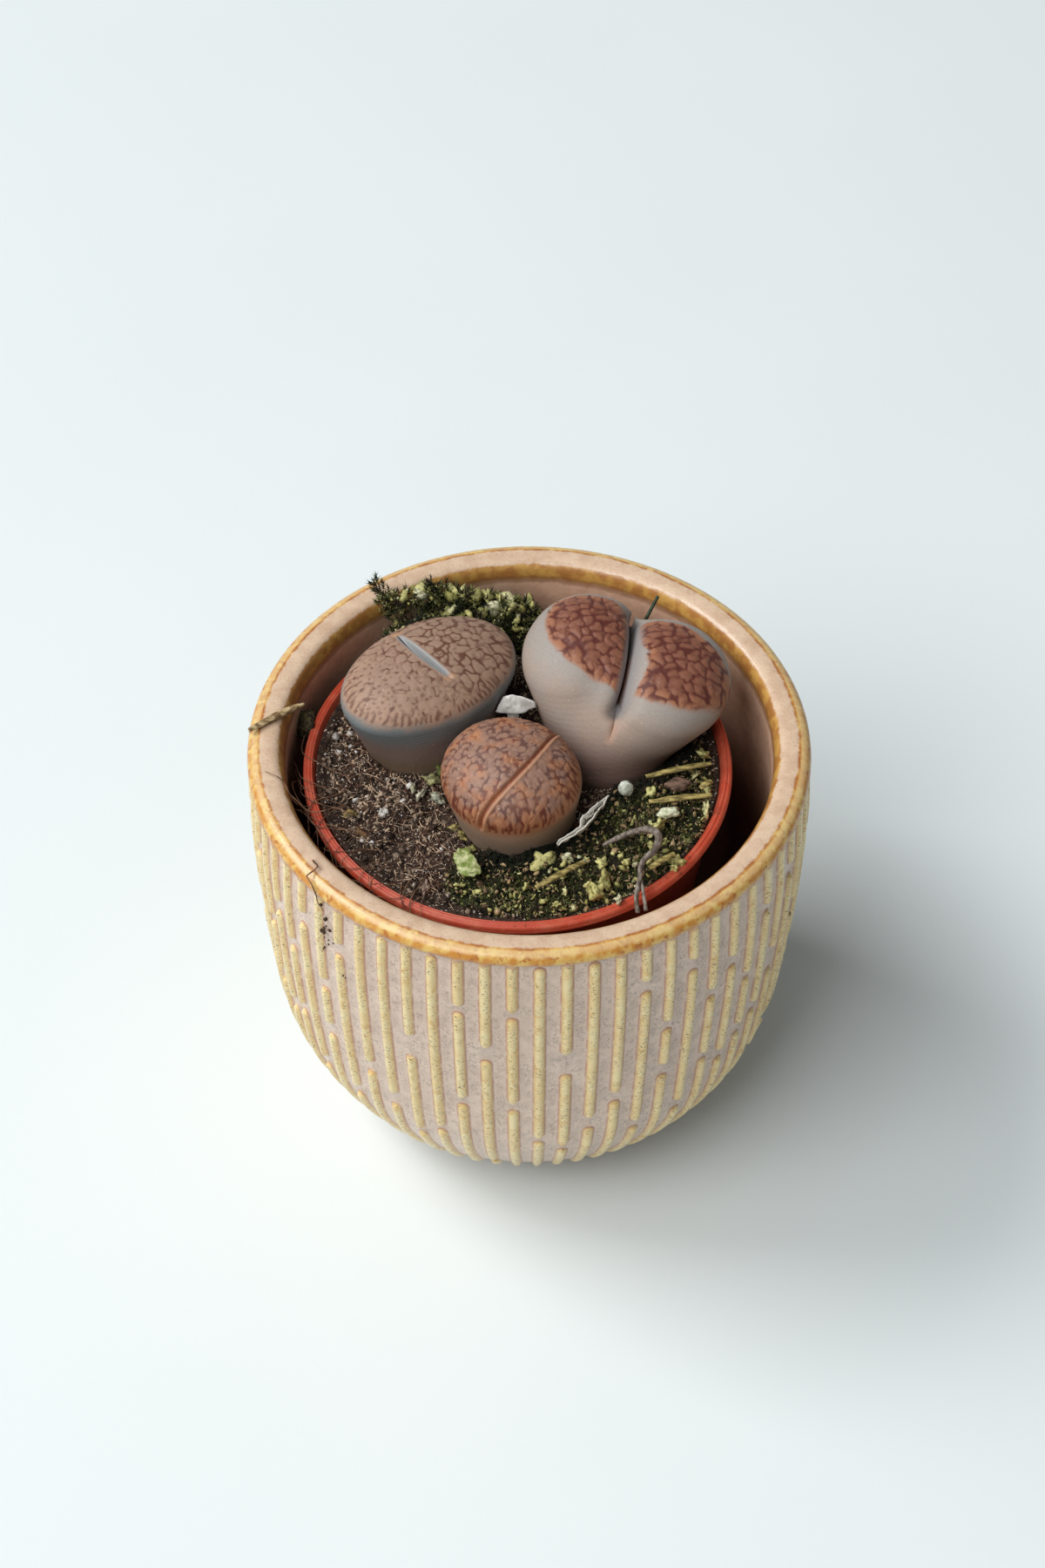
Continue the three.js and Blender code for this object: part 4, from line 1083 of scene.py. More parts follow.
def face_pattern(q, name, plant, wide):
    """Relief and colour numbers of a plant's skin, its lines as wide as given."""
    u, v, w = q.T
    side = off_plane(q, plant["slit"])
    vein_half = plant["line"] * wide
    seed = plant["seed"]
    wobble = cloud(q, 1.6, seed) * 0.35 + cloud(q, 0.7, seed + 1) * 0.18
    if name == "lithops_right":
        pairs = [outline_edge(u, v, face, lobe[0]) for face, lobe in zip(CLEFT_FACES, plant["lobes"])]
        first = pairs[0][0] > pairs[1][0]
        edge = np.where(first, pairs[0][0], pairs[1][0])
        du, dv = np.where(first, pairs[0][1], pairs[1][1]), np.where(first, pairs[0][2], pairs[1][2])
        edge = np.where(w < 1.0, np.minimum(edge, w - 1.0), edge)
        low = np.where(first, *(centre[2] + radii[2] for centre, radii in plant["lobes"]))
    else:
        border = 1.2 if name == "lithops_left" else 0.5 + 1.5 * u / 8.6
        edge = (w - border) * 1.15
        du, dv, low = u, v, plant["lobes"][0][1][2]
    planar = np.maximum(np.hypot(du, dv), 1e-3)
    stretch = np.hypot(planar, low - w) / planar
    a, b = du * stretch, dv * stretch
    flat = np.column_stack([a, b, np.full(len(a), 3.0 * seed)])
    size = plant["cell"]
    bend_a, bend_b = (size * (0.3 * cloud(flat, size * 1.3, seed + k) + 0.16 * cloud(flat, size * 0.45, seed + k + 1))
                      for k in (2, 4))
    pull = 1 - 0.1 * ease(edge, 3.0, 0.2)
    width = vein_half * (1.0 + 0.45 * cloud(flat, 1.4, seed + 6))
    line, tone, web = cells((a + bend_a) * pull, (b + bend_b) * pull, size, seed, width, plant["faintest"])
    main = ease(web, 0.38, 1.0)
    _, _, small = cells(a + bend_a * 0.8 + 40, b + bend_b * 0.8, size * 0.55, seed + 9, width * 0.6, 0.1)
    twigs = ease(small, 0.5, 1.0) * ease(cloud(flat, 1.1, seed + 7), -0.1, 0.4)
    angle = np.arctan2(dv, du)
    if name == "lithops_right":
        smear = ease(cloud(flat, 2.4, seed + 8), 0.25, 0.7) * ease(line, 0.55, 0.15) * ease(edge, 0.6, 1.6)
        vein = np.maximum(np.maximum(main, twigs * 0.6), smear * 0.5)
        vein *= ease(edge + 0.8 * wobble, -0.35, 0.3)
    elif name == "lithops_left":
        front = ease(0.4 * u - 0.9 * v + 2.0 * wobble, -0.5, 5.5)
        broken = mix(1, ease(cloud(flat, 0.62, seed + 12), 0.0, 0.4), front)
        vein = np.maximum(main, twigs * 0.55) * broken
        middle, pick, _ = cells(a + 90, b + 0.3 * bend_b, 0.8, seed + 20, 1, 1)
        vein = np.maximum(vein, 0.6 * ease(middle, 0.16, 0.27) * (pick > 0.4) * front) * ease(edge + wobble, -0.3, 0.8)
    else:
        broken = mix(0.25, 1, ease(cloud(flat, 0.8, seed + 12), -0.4, 0.1)) * mix(1, 0.85, ease(edge, 2.2, 4.0))
        vein = np.maximum(main, twigs * 0.8) * broken
        vein *= ease(edge + wobble, 0.5, 1.2)
    if name != "lithops_right":
        count = 74 if name == "lithops_left" else 66
        beat = angle * count / (2 * math.pi) + 0.5 * cloud(q, 1.5, seed + 13)
        which = np.floor(beat).astype(np.int64)
        reach = (0.1 if name == "lithops_left" else 0.6) + 0.6 * cell_number(which, 3, 1, seed)
        dash = 1 - ease(abs(beat - which - 0.5), 0.1, 0.3)
        dash *= ease(edge, 0.0, 0.3) * (1 - ease(edge, 0.5 + reach, 0.8 + reach * 1.6))
        vein = np.maximum(vein, 0.85 * dash * (cell_number(which, 0, 2, seed) > 0.25))
    gap = slit_gap(q, plant["slit"])
    groove = 0
    if name == "lithops_left":
        slit = ease(gap, 0.5, 0.12)
        vein *= ease(gap, 0.35, 0.8)
        warm = np.exp(-((np.minimum(abs(u + 6.3), abs(u - 4.5)) / 0.45) ** 2)) * ease(abs(side), 1.1, 0.3) * (w > 2)
    elif name == "lithops_right":
        slit = ease(gap, 1.5, 0.3)
        vein *= ease(gap, 0.4, 1.2)
        ends = ease(u, -4.6, -7.0) * ease(w, -0.5, 2.6)
        groove = 1.1 * ends * np.exp(-abs(side) / 0.5)
        warm = 0.4 * ease(u, -7.0, -8.6) * ease(w, -0.8, 0.2) * ease(abs(side), 1.0, 0.05) * ease(w, 3.4, 1.0)
        warm = np.maximum(warm, 0.8 * ease(gap, 0.25, 0.02) * ease(abs(u + 2), 5.0, 2.0))
    else:
        ends = ease(edge, -0.4, 0.9)
        groove = ends * (0.45 * np.exp(-((side - 0.1) / 0.24) ** 2) - 0.14 * np.exp(-((side + 0.45) / 0.26) ** 2))
        slit = 0.8 * ends * np.exp(-(((side + 0.45) / 0.2) ** 2))
        vein *= ease(abs(side), 0.25, 0.7)
        warm = ends * np.exp(-(((side - 0.12) / 0.2) ** 2))
    mask = ease(edge + wobble, -0.2, 1.6)
    relief = plant["relief"] * mask * ((1 - np.exp(-((line / 0.36) ** 2))) * (0.8 + 0.4 * tone) - 1
                                       + 0.2 * cloud(flat, 0.8, seed + 16)) + 0.05 * cloud(q, 3.0, seed + 15)
    relief = relief * ease(gap, 0.0, 0.8) - groove
    return relief, {"edge": edge, "vein": np.clip(vein, 0, 1), "slit": slit, "warm": np.clip(warm, 0, 1),
                    "tone": tone, "side": side}


def plant_skin(name, look):
    """Skin of a plant: patterned face, smooth side, and the walls of the fissure."""
    finish = Finish(name + "_skin", Specular_IOR_Level=0.42, Subsurface_Weight=0.06, Subsurface_Scale=0.001)
    edge, vein, slit, warm, tone, off = (finish.kept(key) for key in ("edge", "vein", "slit", "warm", "tone", "side"))
    height = finish.axis("Z")
    wobble = finish.noise(1.8, 3) - 0.5
    fine = finish.noise(0.26, 3, 0.6)
    if name == "lithops_left":
        face = finish.blend(tone * 0.5 + wobble * 0.8, linear(look.left_face), rgb(150, 120, 102))
        face = finish.blend((edge + wobble * 2).ease(3.2, 0.4) * 0.7, face, rgb(178, 142, 118))
        side = finish.blend(height.ease(64.0, 60.5), rgb(126, 122, 122), linear(look.left_side))
        side = finish.blend(height.ease(60.0, 57.5) * 0.6, side, rgb(118, 98, 66))
        band = finish.blend((edge + wobble).ease(-5.0, -1.8), side, rgb(120, 128, 130))
        share, dark = (edge + wobble * 1.6).ease(-1.1, 0.7), linear(look.left_vein)
        # Fissure walls are pale, with a painted shade line down the middle of the cleft.
        walls = finish.blend((off + 0.08).ease(-0.2, -0.04) * (off + 0.08).ease(0.2, 0.04), rgb(158, 160, 160),
                             rgb(72, 66, 70))
        warmth = rgb(196, 150, 112)
    elif name == "lithops_right":
        face = finish.blend(tone * 0.6 + wobble * 0.6, linear(look.right_face), rgb(138, 88, 70))
        face = finish.blend((edge + wobble * 2).ease(2.0, 0.2) * 0.7, face, rgb(180, 122, 88))
        side = finish.blend(finish.noise(7.0, 2).ease(0.4, 0.65) * 0.6, linear(look.right_side), rgb(168, 158, 150))
        # Painted shade: the side darkens towards the soil, where it lies in shade.
        side = finish.blend(height.ease(65.0, 58.5), side, rgb(108, 85, 76))
        band = finish.blend((edge + wobble * 2).ease(-4.0, -0.6) * 0.6, side, rgb(158, 156, 152))
        share, dark = (edge + wobble * 1.2).ease(-0.5, 0.35), linear(look.right_vein)
        walls = finish.blend(fine.ease(0.3, 0.7), rgb(146, 142, 142), rgb(160, 154, 152))
        warmth = rgb(204, 148, 118)
    else:
        face = finish.blend(tone * 0.5 + wobble * 0.5, linear(look.small_face), rgb(166, 110, 76))
        grey = (finish.noise(2.4, 2) + edge * 0.03).ease(0.42, 0.72) * edge.ease(0.9, 2.8)
        face = finish.blend(grey * 0.7, face, rgb(146, 120, 110))
        side = finish.blend(height.ease(62.0, 58.0), linear(look.small_side), rgb(146, 124, 106))
        band = finish.blend((edge + wobble).ease(-2.4, -0.2) * 0.8, side, rgb(176, 138, 112))
        share = (edge + wobble).ease(-1.2, 0.9)
        dark = finish.blend(grey, linear(look.small_vein), rgb(86, 52, 48))
        walls = finish.blend(fine.ease(0.3, 0.7), rgb(194, 142, 108), rgb(206, 156, 122))
        warmth = rgb(158, 88, 54)
    colour = finish.blend(share, band, face)
    colour = finish.blend(vein * (0.92 + 0.2 * wobble), colour, dark)
    colour = finish.blend(slit, colour, walls)
    colour = finish.blend(warm * 0.8, colour, warmth)
    colour = finish.darken(fine.ease(0.4, 0.75) * 0.16, colour, rgb(150, 140, 135))
    colour = finish.layers(colour, (finish.spots(1.5).ease(0.055, 0.035) * 0.7, (226, 222, 214)))
    finish.wear(colour, 0.56 + fine * 0.12 - share * 0.08, fine * 0.7 + finish.noise(0.1, 2) * 0.3, 0.022)
    return finish


class LITHOPS_OT_plants(Operator):
    """Build the three stone plants with their fissures and veined faces"""
    bl_idname = "lithops.plants"
    bl_label = "Stone plants"

    def execute(self, context):
        look = context.scene.lithops_plants
        for name, plant in PLANTS.items():
            around, along = plant["counts"]
            deselect()
            bpy.ops.mesh.primitive_uv_sphere_add(segments=around, ring_count=along, radius=1)
            piece = take(name + "_body")
            ball = places(piece) * MM
            _, along_slope, _, up_slope = plant["slit"]["plane"]
            lean, twist = math.atan(-up_slope), math.atan(along_slope)
            # More meridians over the face, and most of them where the fissure cuts it
            turn = spread(around + 1, -math.pi, math.pi, lambda a: 0.55 + 1.5 * (1 - ease(abs(a), 1.45, 1.75))
                          + 4.5 * np.exp(-(((a - lean) / plant["cut"]) ** 2)))
            step = np.rint((np.arctan2(ball[:, 1], ball[:, 0]) / (2 * math.pi) % 1) * around).astype(int) % around
            angle, tilt = turn[step], np.arccos(np.clip(ball[:, 2], -1, 1))
            ahead, across = np.cos(tilt), -np.sin(tilt) * np.sin(angle)
            ray = np.column_stack([ahead * math.cos(twist) - across * math.sin(twist),
                                   ahead * math.sin(twist) + across * math.cos(twist), np.sin(tilt) * np.cos(angle)])
            # Along each ray from the core, the place where it leaves the skin
            near, far = np.zeros(len(ray)), np.full(len(ray), SKIN_REACH)
            for _ in range(HALVINGS):
                middle = (near + far) / 2
                inside = plant_gap(plant["core"] + ray * middle[:, None], plant) < 0
                near, far = np.where(inside, middle, near), np.where(inside, far, middle)
            q = plant["core"] + ray * near[:, None]
            relief, numbers = face_pattern(q, name, plant, look.vein / MM / 0.3)
            move(piece, from_plant(plant["core"] + ray * (near + relief)[:, None], plant))
            for key, values in numbers.items():
                mark(piece, key, values)
            close_up(piece, 0.0005)
            root = from_plant(path(plant["root"], 24), plant)
            taproot = strands(name + "_root", [with_radius(root, [1.7, 1.3, 0.4])], 12)
            settle(taproot, crumb_finish(name + "_bark", rgb(120, 92, 66), rgb(120, 92, 66)), plant["slot"])
            settle(piece, plant_skin(name, look), plant["slot"], name)
        return {"FINISHED"}


# Moss

def moss_strip(name, x, y, middle, spread_by, radius, half, height, columns, rows, seed):
    """A low bed of moss bent round an axis."""
    piece, s, t = grid(name, columns, rows)
    share = np.cos(math.pi * t / rows)
    turn = 2 * math.pi * s / columns
    girth = np.sqrt(np.maximum(1 - share**2, 0))
    fill = girth ** 0.6
    angle = np.radians(middle + spread_by * share)
    reach = radius + half * fill * np.cos(turn)
    px, py = x + reach * np.cos(angle), y + reach * np.sin(angle)
    flat = np.column_stack([px, py, np.zeros(len(px))])
    rise = height(share) * fill * np.maximum(np.sin(turn), 0) ** 0.8
    rise *= 1 + 0.35 * cloud(flat, 2.4, seed) + 0.2 * cloud(flat, 1.1, seed + 1)
    pz = rough_soil(px, py) + 0.25 + np.maximum(rise, 0) + 0.4 * np.minimum(np.sin(turn), 0)
    move(piece, np.column_stack([px, py, pz]))
    close_up(piece)
    return piece


def on_surface(piece, count, seed, keep):
    """Random places on the upward faces of a piece, with the way that each faces."""
    mesh = piece.data
    mesh.calc_loop_triangles()
    index = np.empty(len(mesh.loop_triangles) * 3, np.int32)
    mesh.loop_triangles.foreach_get("vertices", index)
    corners = places(piece)[index.reshape(-1, 3)]
    normal = np.cross(corners[:, 1] - corners[:, 0], corners[:, 2] - corners[:, 0])
    area = np.linalg.norm(normal, axis=1)
    normal /= np.maximum(area, 1e-9)[:, None]
    weight = area * (normal[:, 2] > 0.05)
    chance = np.random.default_rng(seed)
    pick = chance.choice(len(area), count * 3, p=weight / weight.sum())
    a, b = chance.random((2, count * 3, 1))
    a, b = np.where(a + b > 1, 1 - a, a), np.where(a + b > 1, 1 - b, b)
    c = corners[pick]
    points = c[:, 0] + a * (c[:, 1] - c[:, 0]) + b * (c[:, 2] - c[:, 0])
    kept = keep(points) & (nearest_plant(points) > 0.15)
    return points[kept][:count], normal[pick][kept][:count]


def shoot_model():
    """A moss shoot: six pointed leaves round a short stem."""
    deselect()
    bpy.ops.mesh.primitive_cone_add(vertices=3, radius1=MM, radius2=0, depth=2 * MM)
    leaf, faces = model_of(take("leaf"))
    leaf = leaf * (0.17, 0.07, 0.5)
    points, polygons = [], []
    for k in range(6):
        lean, turn, up = math.radians(62 - 8 * k), 2.4 * k, 0.18 + 0.17 * k
        tilt = np.array([[1, 0, 0], [0, math.cos(lean), math.sin(lean)], [0, -math.sin(lean), math.cos(lean)]])
        spin = np.array([[math.cos(turn), math.sin(turn), 0], [-math.sin(turn), math.cos(turn), 0], [0, 0, 1]])
        polygons += [[corner + len(points) * len(leaf) for corner in face] for face in faces]
        points.append(((leaf + (0, 0, 0.42)) * (1 - 0.06 * k) @ tilt @ spin) + (0, 0, up))
    return np.vstack(points), polygons


def moss_leaf(look):
    finish = Finish("moss_leaf", Specular_IOR_Level=0.35)
    shade = finish.kept("shade")
    patch = finish.noise(3.2, 2)
    colour = finish.blend((shade + patch * 0.6 - 0.3).ease(0.1, 1.0), linear(look.moss_dark), linear(look.moss_light))
    colour = finish.layers(
        colour,
        ((finish.noise(0.8, 2) + shade * 0.3).ease(0.72, 0.84), (190, 188, 130)),
        (finish.noise(2.1, 2).ease(0.48, 0.6) * 0.8, (66, 54, 40)))
    finish.wear(colour, 0.55 + shade * 0.25, finish.noise(0.2, 2), 0.04)
    return finish


def moss_floor():
    """The bed under the shoots, with painted shade beside the plants."""
    finish = Finish("moss_bed", Specular_IOR_Level=0.2)
    # The last layer is painted shade, darkest close to the plants.
    colour = finish.layers(
        finish.blend(finish.noise(0.5, 4, 0.7).ease(0.45, 0.72), rgb(20, 22, 15), rgb(84, 92, 42)),
        (finish.noise(0.3, 3, 0.7).ease(0.64, 0.72), (170, 164, 120)),
        (finish.noise(2.5, 3).ease(0.5, 0.7) * 0.6, (52, 40, 30)),
        (finish.kept("near") * 0.9, (14, 12, 10)))
    finish.wear(colour, 0.8 + finish.noise(0.5) * 0.15, finish.noise(0.5, 4, 0.7), 0.4)
    return finish


def pale_grain(look):
    finish = Finish("granule", Specular_IOR_Level=0.4, Subsurface_Weight=0.1, Subsurface_Scale=0.001)
    shade = finish.kept("shade")
    colour = finish.layers(
        finish.blend(shade, rgb(142, 138, 72), linear(look.granule)),
        (shade.ease(0.75, 0.95), (216, 214, 180)),
        (finish.noise(0.5, 3).ease(0.46, 0.64) * 0.8, (98, 98, 44)))
    finish.wear(colour, 0.5 + finish.noise(0.4) * 0.2, finish.noise(0.25, 3), 0.06)
    return finish


class LITHOPS_OT_moss(Operator):
    """Build the moss at the front and behind, with its shoots and pale granules"""
    bl_idname = "lithops.moss"
    bl_label = "Moss"

    def execute(self, context):
        look = context.scene.lithops_ground
        chance = np.random.default_rng(77)
        front = moss_strip("moss_front_bed", NURSERY_X, NURSERY_Y, -49, 67, 19.3, 6.9, lambda share: 1.0, 40, 110, 3)
        back = moss_strip("moss_back_bed", 0, 0, 113.5, 27.5, 24.6, 4.4, lambda share: 5.4 + 1.2 * share, 44, 70, 9)
        bed = moss_floor()
        for piece, node in ((front, "moss_front"), (back, "moss_back")):
            # Painted shade for the bed: how close each point lies to a plant.
            mark(piece, "near", ease(nearest_plant(places(piece)), 3.2, 0.4))
            settle(piece, bed, "moss", node)
        # Shoots on the beds, on the tips of the clump and along its ridge
        model, leaves = shoot_model(), moss_leaf(look)
        for name, bed_piece, count, size in (("moss_shoots_front", front, look.front_shoots, 0.6),
                                             ("moss_shoots_back", back, look.back_shoots, 0.95)):
            points, normal = on_surface(bed_piece, count, len(name), lambda p: (p[:, 2] > 55.5) & (
                cloud(p, 2.6, 12) > -0.35))
            count = len(points)
            up = normal + chance.normal(size=(count, 3)) * 0.35 + (0, 0, 0.4)
            # The shoots' shades carry painted shade too: darker close to the plants.
            shoots = copies(name, model, points - normal * 0.15, up, size * (0.65 + 0.6 * chance.random(count)),
                            chance.random(count) * ease(nearest_plant(points), 0.0, 3.5), len(name))
            settle(shoots, leaves, "moss")
        where = np.vstack([path(ends, count) for ends, count in MOSS_TIPS])
        lean = np.vstack([np.tile(np.subtract(ends[1], ends[0]), (count, 1)) for ends, count in MOSS_TIPS])
        shrink = np.concatenate([np.linspace(1, 0.15, count) for _, count in MOSS_TIPS])
        ridge = path(MOSS_RIDGE, 360)
        where = np.vstack([where, ridge - chance.random((len(ridge), 1)) * (0, 0, 2.4)])
        lean = np.vstack([lean, np.tile((0, 0, 3.0), (len(ridge), 1))])
        shrink = np.concatenate([shrink, np.full(len(ridge), 0.9)])
        away = chance.normal(size=where.shape)
        away /= np.linalg.norm(away, axis=1, keepdims=True)
        tip_shoots = copies("moss_tips", model, where + away * 1.1 * shrink[:, None], lean * 0.25 + away,
                            0.8 + 0.3 * chance.random(len(where)), chance.random(len(where)), 5)
        settle(tip_shoots, leaves, "moss")

        # Granules, flakes and litter
        random_spots, _ = on_surface(front, 420, 91, lambda p: nearest_plant(p) > 1.6)
        back_spots, _ = on_surface(back, 150, 92, lambda p: p[:, 2] > 59.0)
        back_spots = np.vstack([back_spots, ridge[::9] + chance.normal(size=(40, 3)) * (0.5, 0.7, 0.3)])
        large = np.column_stack([FLAKES[:, :2], soil_height(FLAKES[:, 0], FLAKES[:, 1]) + 1.75])
        at = np.vstack([random_spots + (0, 0, 0.45), back_spots + (0, 0, 0.5)])
        sizes = np.concatenate([0.08 + 0.45 * chance.random(len(random_spots)) ** 3.5,
                                0.22 + 0.85 * chance.random(len(back_spots)) ** 2])
        grain = model_of(lump("granule", (0, 0, 0), (1, 1, 0.7), rough=0.9, grain=0.8, seed=4, detail=1))
        ragged = model_of(lump("flake", (0, 0, 0), (1, 1, 0.7), rough=0.9, grain=0.7, seed=4, detail=3))
        granules = copies("moss_granules", grain, at, chance.normal(size=at.shape) + (0, 0, 1.0),
                          sizes[:, None] * (0.4 + 1.1 * chance.random((len(at), 3))), chance.random(len(at)), 6)
        flakes = copies("moss_flakes", ragged, large, chance.normal(size=large.shape) + (0, 0, 1.0),
                        FLAKES[:, 2:] * (0.5 + 0.8 * chance.random((len(FLAKES), 3))),
                        0.4 + 0.6 * chance.random(len(large)), 9)
        finish = pale_grain(look)
        for piece in (granules, flakes):
            settle(piece, finish, "moss")
        scattered, _ = on_surface(front, 620, 93, lambda p: nearest_plant(p) > 0.9)
        litter = copies("moss_litter", grain, scattered + (0, 0, 0.4), chance.normal(size=scattered.shape),
                        (0.1 + 0.5 * chance.random((len(scattered), 3)) ** 2.5), chance.random(len(scattered)), 8)
        settle(litter, crumb_finish("dry_litter", rgb(70, 50, 36), rgb(196, 168, 124)), "moss")
        return {"FINISHED"}


# Loose pieces

def plain_finish(name, light, dark, size, rough, depth=0.05, stretch=(1, 1, 1)):
    """A finish of two colours in streaks or patches."""
    finish = Finish(name, Specular_IOR_Level=0.35)
    grain = finish.noise(size, 4, 0.6, finish.stretched(*stretch))
    finish.wear(finish.blend(grain.ease(0.38, 0.66), dark, light), rough + (grain - 0.5) * 0.2, grain, depth)
    return finish


class LITHOPS_OT_husk(Operator):
    """Build the white dry husk between the plants"""
    bl_idname = "lithops.husk"
    bl_label = "Dry husk"

    def execute(self, context):
        piece, s, t = grid("dry_husk", 72, 48)
        turn, up = 2 * math.pi * s / 72, t / 48
        wide, z = (np.interp(up, (0, 0.3, 0.42, 0.5, 0.66, 0.84, 1), row) for row in (
            (0.3, 0.2, 1.0, 1.06, 0.74, 0.36, 0.0), (57.4, 61.5, 61.8, 61.9, 62.9, 63.7, 64.2)))
        tail = 1 + 0.3 * np.exp(-((turn / 0.35) ** 2)) + 0.3 * np.exp(-(((turn - 2 * math.pi) / 0.35) ** 2))
        folds = 1 + 0.1 * np.sin(turn * 5 + 0.7) * wide
        p = np.column_stack([2.5 * wide * tail * folds * np.cos(turn) + HUSK_X,
                             0.9 * wide * folds * np.sin(turn) + HUSK_Y, z + 0.2 * np.cos(turn * 2) * wide])
        p += 0.12 * wander(p, 0.9)
        for _ in range(14):
            hits = ~(nearest_plant(p) > 0.15)
            p[hits, :2] += 0.1 * ((HUSK_X, HUSK_Y) - p[hits, :2])
        move(piece, p)
        close_up(piece, 0.0005)
        apply_modifier(piece, "SOLIDIFY", thickness=SHEET * MM, offset=0)
        finish = plain_finish("papery_husk", rgb(255, 255, 252), rgb(226, 224, 218), 0.5, 0.6, 0.12, (1, 1, 0.4))
        settle(piece, finish, "husk", "husk")
        return {"FINISHED"}


class LITHOPS_OT_dry_leaf(Operator):
    """Build the dry curled leaf beside the small plant"""
    bl_idname = "lithops.dry_leaf"
    bl_label = "Dry leaf"

    def execute(self, context):
        piece, s, t = grid("dry_curled_leaf", 80, 18)
        along, across = s / 80, t / 18 - 0.5
        line = curve([[0, 3.6], [0.42, 6.8], [1, 10.2]], along), curve([[0, -15.6], [0.42, -13.5], [1, -8.2]], along)
        width = np.interp(along, (0, 0.1, 0.36, 0.5, 0.7, 1), (0.25, 0.4, 0.55, 1.1, 0.95, 0.1))
        curl = 1.5 * width * across * np.abs(across) * 4
        x = line[0] - 0.85 * width * across
        y = line[1] + 0.5 * width * across
        z = 59.6 + 0.5 * np.sin(math.pi * along) + np.abs(curl) + 0.9 * along**3
        p = np.column_stack([x, y, z])
        move(piece, p + 0.22 * wander(p, 0.8, 4))
        mark(piece, "rim", np.abs(across) * 2)
        close_up(piece, 0.0005)
        apply_modifier(piece, "SOLIDIFY", thickness=SHEET * MM, offset=0)
        finish = Finish("dry_leaf", Specular_IOR_Level=0.4)
        grain = finish.noise(0.4, 4, 0.6)
        colour = finish.blend(grain.ease(0.4, 0.66), rgb(52, 46, 34), rgb(108, 98, 78))
        rim = (finish.kept("rim") + (grain - 0.5) * 1.8).ease(0.5, 0.85).most(finish.axis("Y").ease(-12.9, -13.6) * 0.8)
        finish.wear(finish.layers(colour, (rim, (226, 222, 212))), 0.5 + grain * 0.2, grain, 0.08)
        settle(piece, finish, "dry_leaf", "dry_leaf")
        return {"FINISHED"}


class LITHOPS_OT_stalks(Operator):
    """Build the hooked stalk, the green stem and the loose straws"""
    bl_idname = "lithops.stalks"
    bl_label = "Stalks and straws"

    def execute(self, context):
        straw = plain_finish("straw", rgb(186, 168, 104), rgb(104, 90, 50), 0.35, 0.5, 0.06, (0.3, 0.8, 1))
        pale = plain_finish("pale_straw", rgb(206, 184, 140), rgb(120, 92, 60), 0.4, 0.55, 0.06, (0.5, 0.8, 1))
        stalk = plain_finish("dry_stalk", rgb(154, 142, 132), rgb(92, 80, 70), 0.5, 0.55, 0.06, (1, 0.4, 1))
        green = plain_finish("green_stem", rgb(66, 84, 60), rgb(36, 50, 38), 0.6, 0.5, 0.04)
        hooked = strands("hooked_stalk", [
            with_radius(path(STALK, 90), [0.22, 0.36, 0.42, 0.5, 0.5, 0.44, 0.34, 0.3, 0.32, 0.3]),
            with_radius(path(STALK_FOOT, 30), [0.12, 0.24, 0.26])], 12)
        p = places(hooked)
        move(hooked, p + 0.06 * wander(p, 0.9))
        settle(hooked, stalk, "straw", "stalk_hooked")
        stem = strands("thin_green_stem", [with_radius(path(STEM, 30), [0.32, 0.26, 0.22])], 10)
        settle(stem, green, "green_stem", "green_stem")
        for k, ends in enumerate(STRAWS):
            middle = np.mean(ends, axis=0) + (0, 0, 0.15)
            shaft = strands(f"loose_straw_{k + 1}", [with_radius(path([ends[0], middle, ends[1]], 40),
                                                                 [0.3, 0.46, 0.42, 0.34])], 14)
            p = places(shaft)
            centre_z = np.interp(p[:, 0], *zip(*sorted((q[0], q[2]) for q in (ends[0], middle, ends[1]))))
            p[:, 2] = centre_z + (p[:, 2] - centre_z) * 0.6
            move(shaft, p + 0.05 * wander(p * (0.3, 0.8, 1), 0.3))
            settle(shaft, straw, "straw", f"straw_{k + 1}")
        line = path(RIM_STRAW, 44) - (0, 0, 0.35)
        splinters = [with_radius(line, [0.28, 0.4, 0.5, 0.42, 0.2])]
        for shift, low, high in ((0.45, 8, 40), (-0.4, 0, 30), (0.15, 22, 44)):
            part = line[low:high] + (0, shift, 0.15 * abs(shift))
            splinters.append(with_radius(part, [0.06, 0.22, 0.2, 0.05]))
        rim = strands("rim_straw", splinters, 10)
        settle(rim, pale, "straw", "straw_on_rim")
        return {"FINISHED"}


class LITHOPS_OT_grit(Operator):
    """Build the perlite ball, the white chunk, the bark crumb and the large pale flake"""
    bl_idname = "lithops.grit"
    bl_label = "Perlite, bark and flake"

    def execute(self, context):
        stone = plain_finish("perlite", rgb(214, 218, 206), rgb(160, 166, 148), 0.5, 0.75, 0.1)
        chalk = plain_finish("chalk", rgb(230, 232, 206), rgb(176, 180, 140), 0.5, 0.75, 0.1)
        bark = plain_finish("bark", rgb(122, 96, 80), rgb(64, 46, 38), 0.5, 0.8, 0.15, (0.4, 1, 1))
        flake = plain_finish("pale_flake", rgb(206, 208, 158), rgb(118, 136, 60), 0.9, 0.5, 0.15)
        for name, node, finish, slot, *shape in (
                ("perlite_round", "perlite_ball", stone, "perlite", (12.3, -6.3, 60.0), (1, 1, 1), 0, 0.12, 0.6, 2),
                ("chalky_chunk", "white_chunk", chalk, "perlite", (17.6, -10.2, 59.8), (1.2, 0.8, 0.5), 20, 0.4, 0.6,
                 3),
                ("bark_bit", "bark_crumb", bark, "bark", (18.9, -5.4, 59.8), (1.7, 1.0, 0.6), 10, 0.25, 0.6, 4),
                ("ear_flake", "large_flake", flake, "flake", (-8.0, -17.9, 59.3), (1.2, 2.2, 0.6), 24, 0.5, 0.7, 5)):
            settle(lump(name, *shape), finish, slot, node)
        return {"FINISHED"}


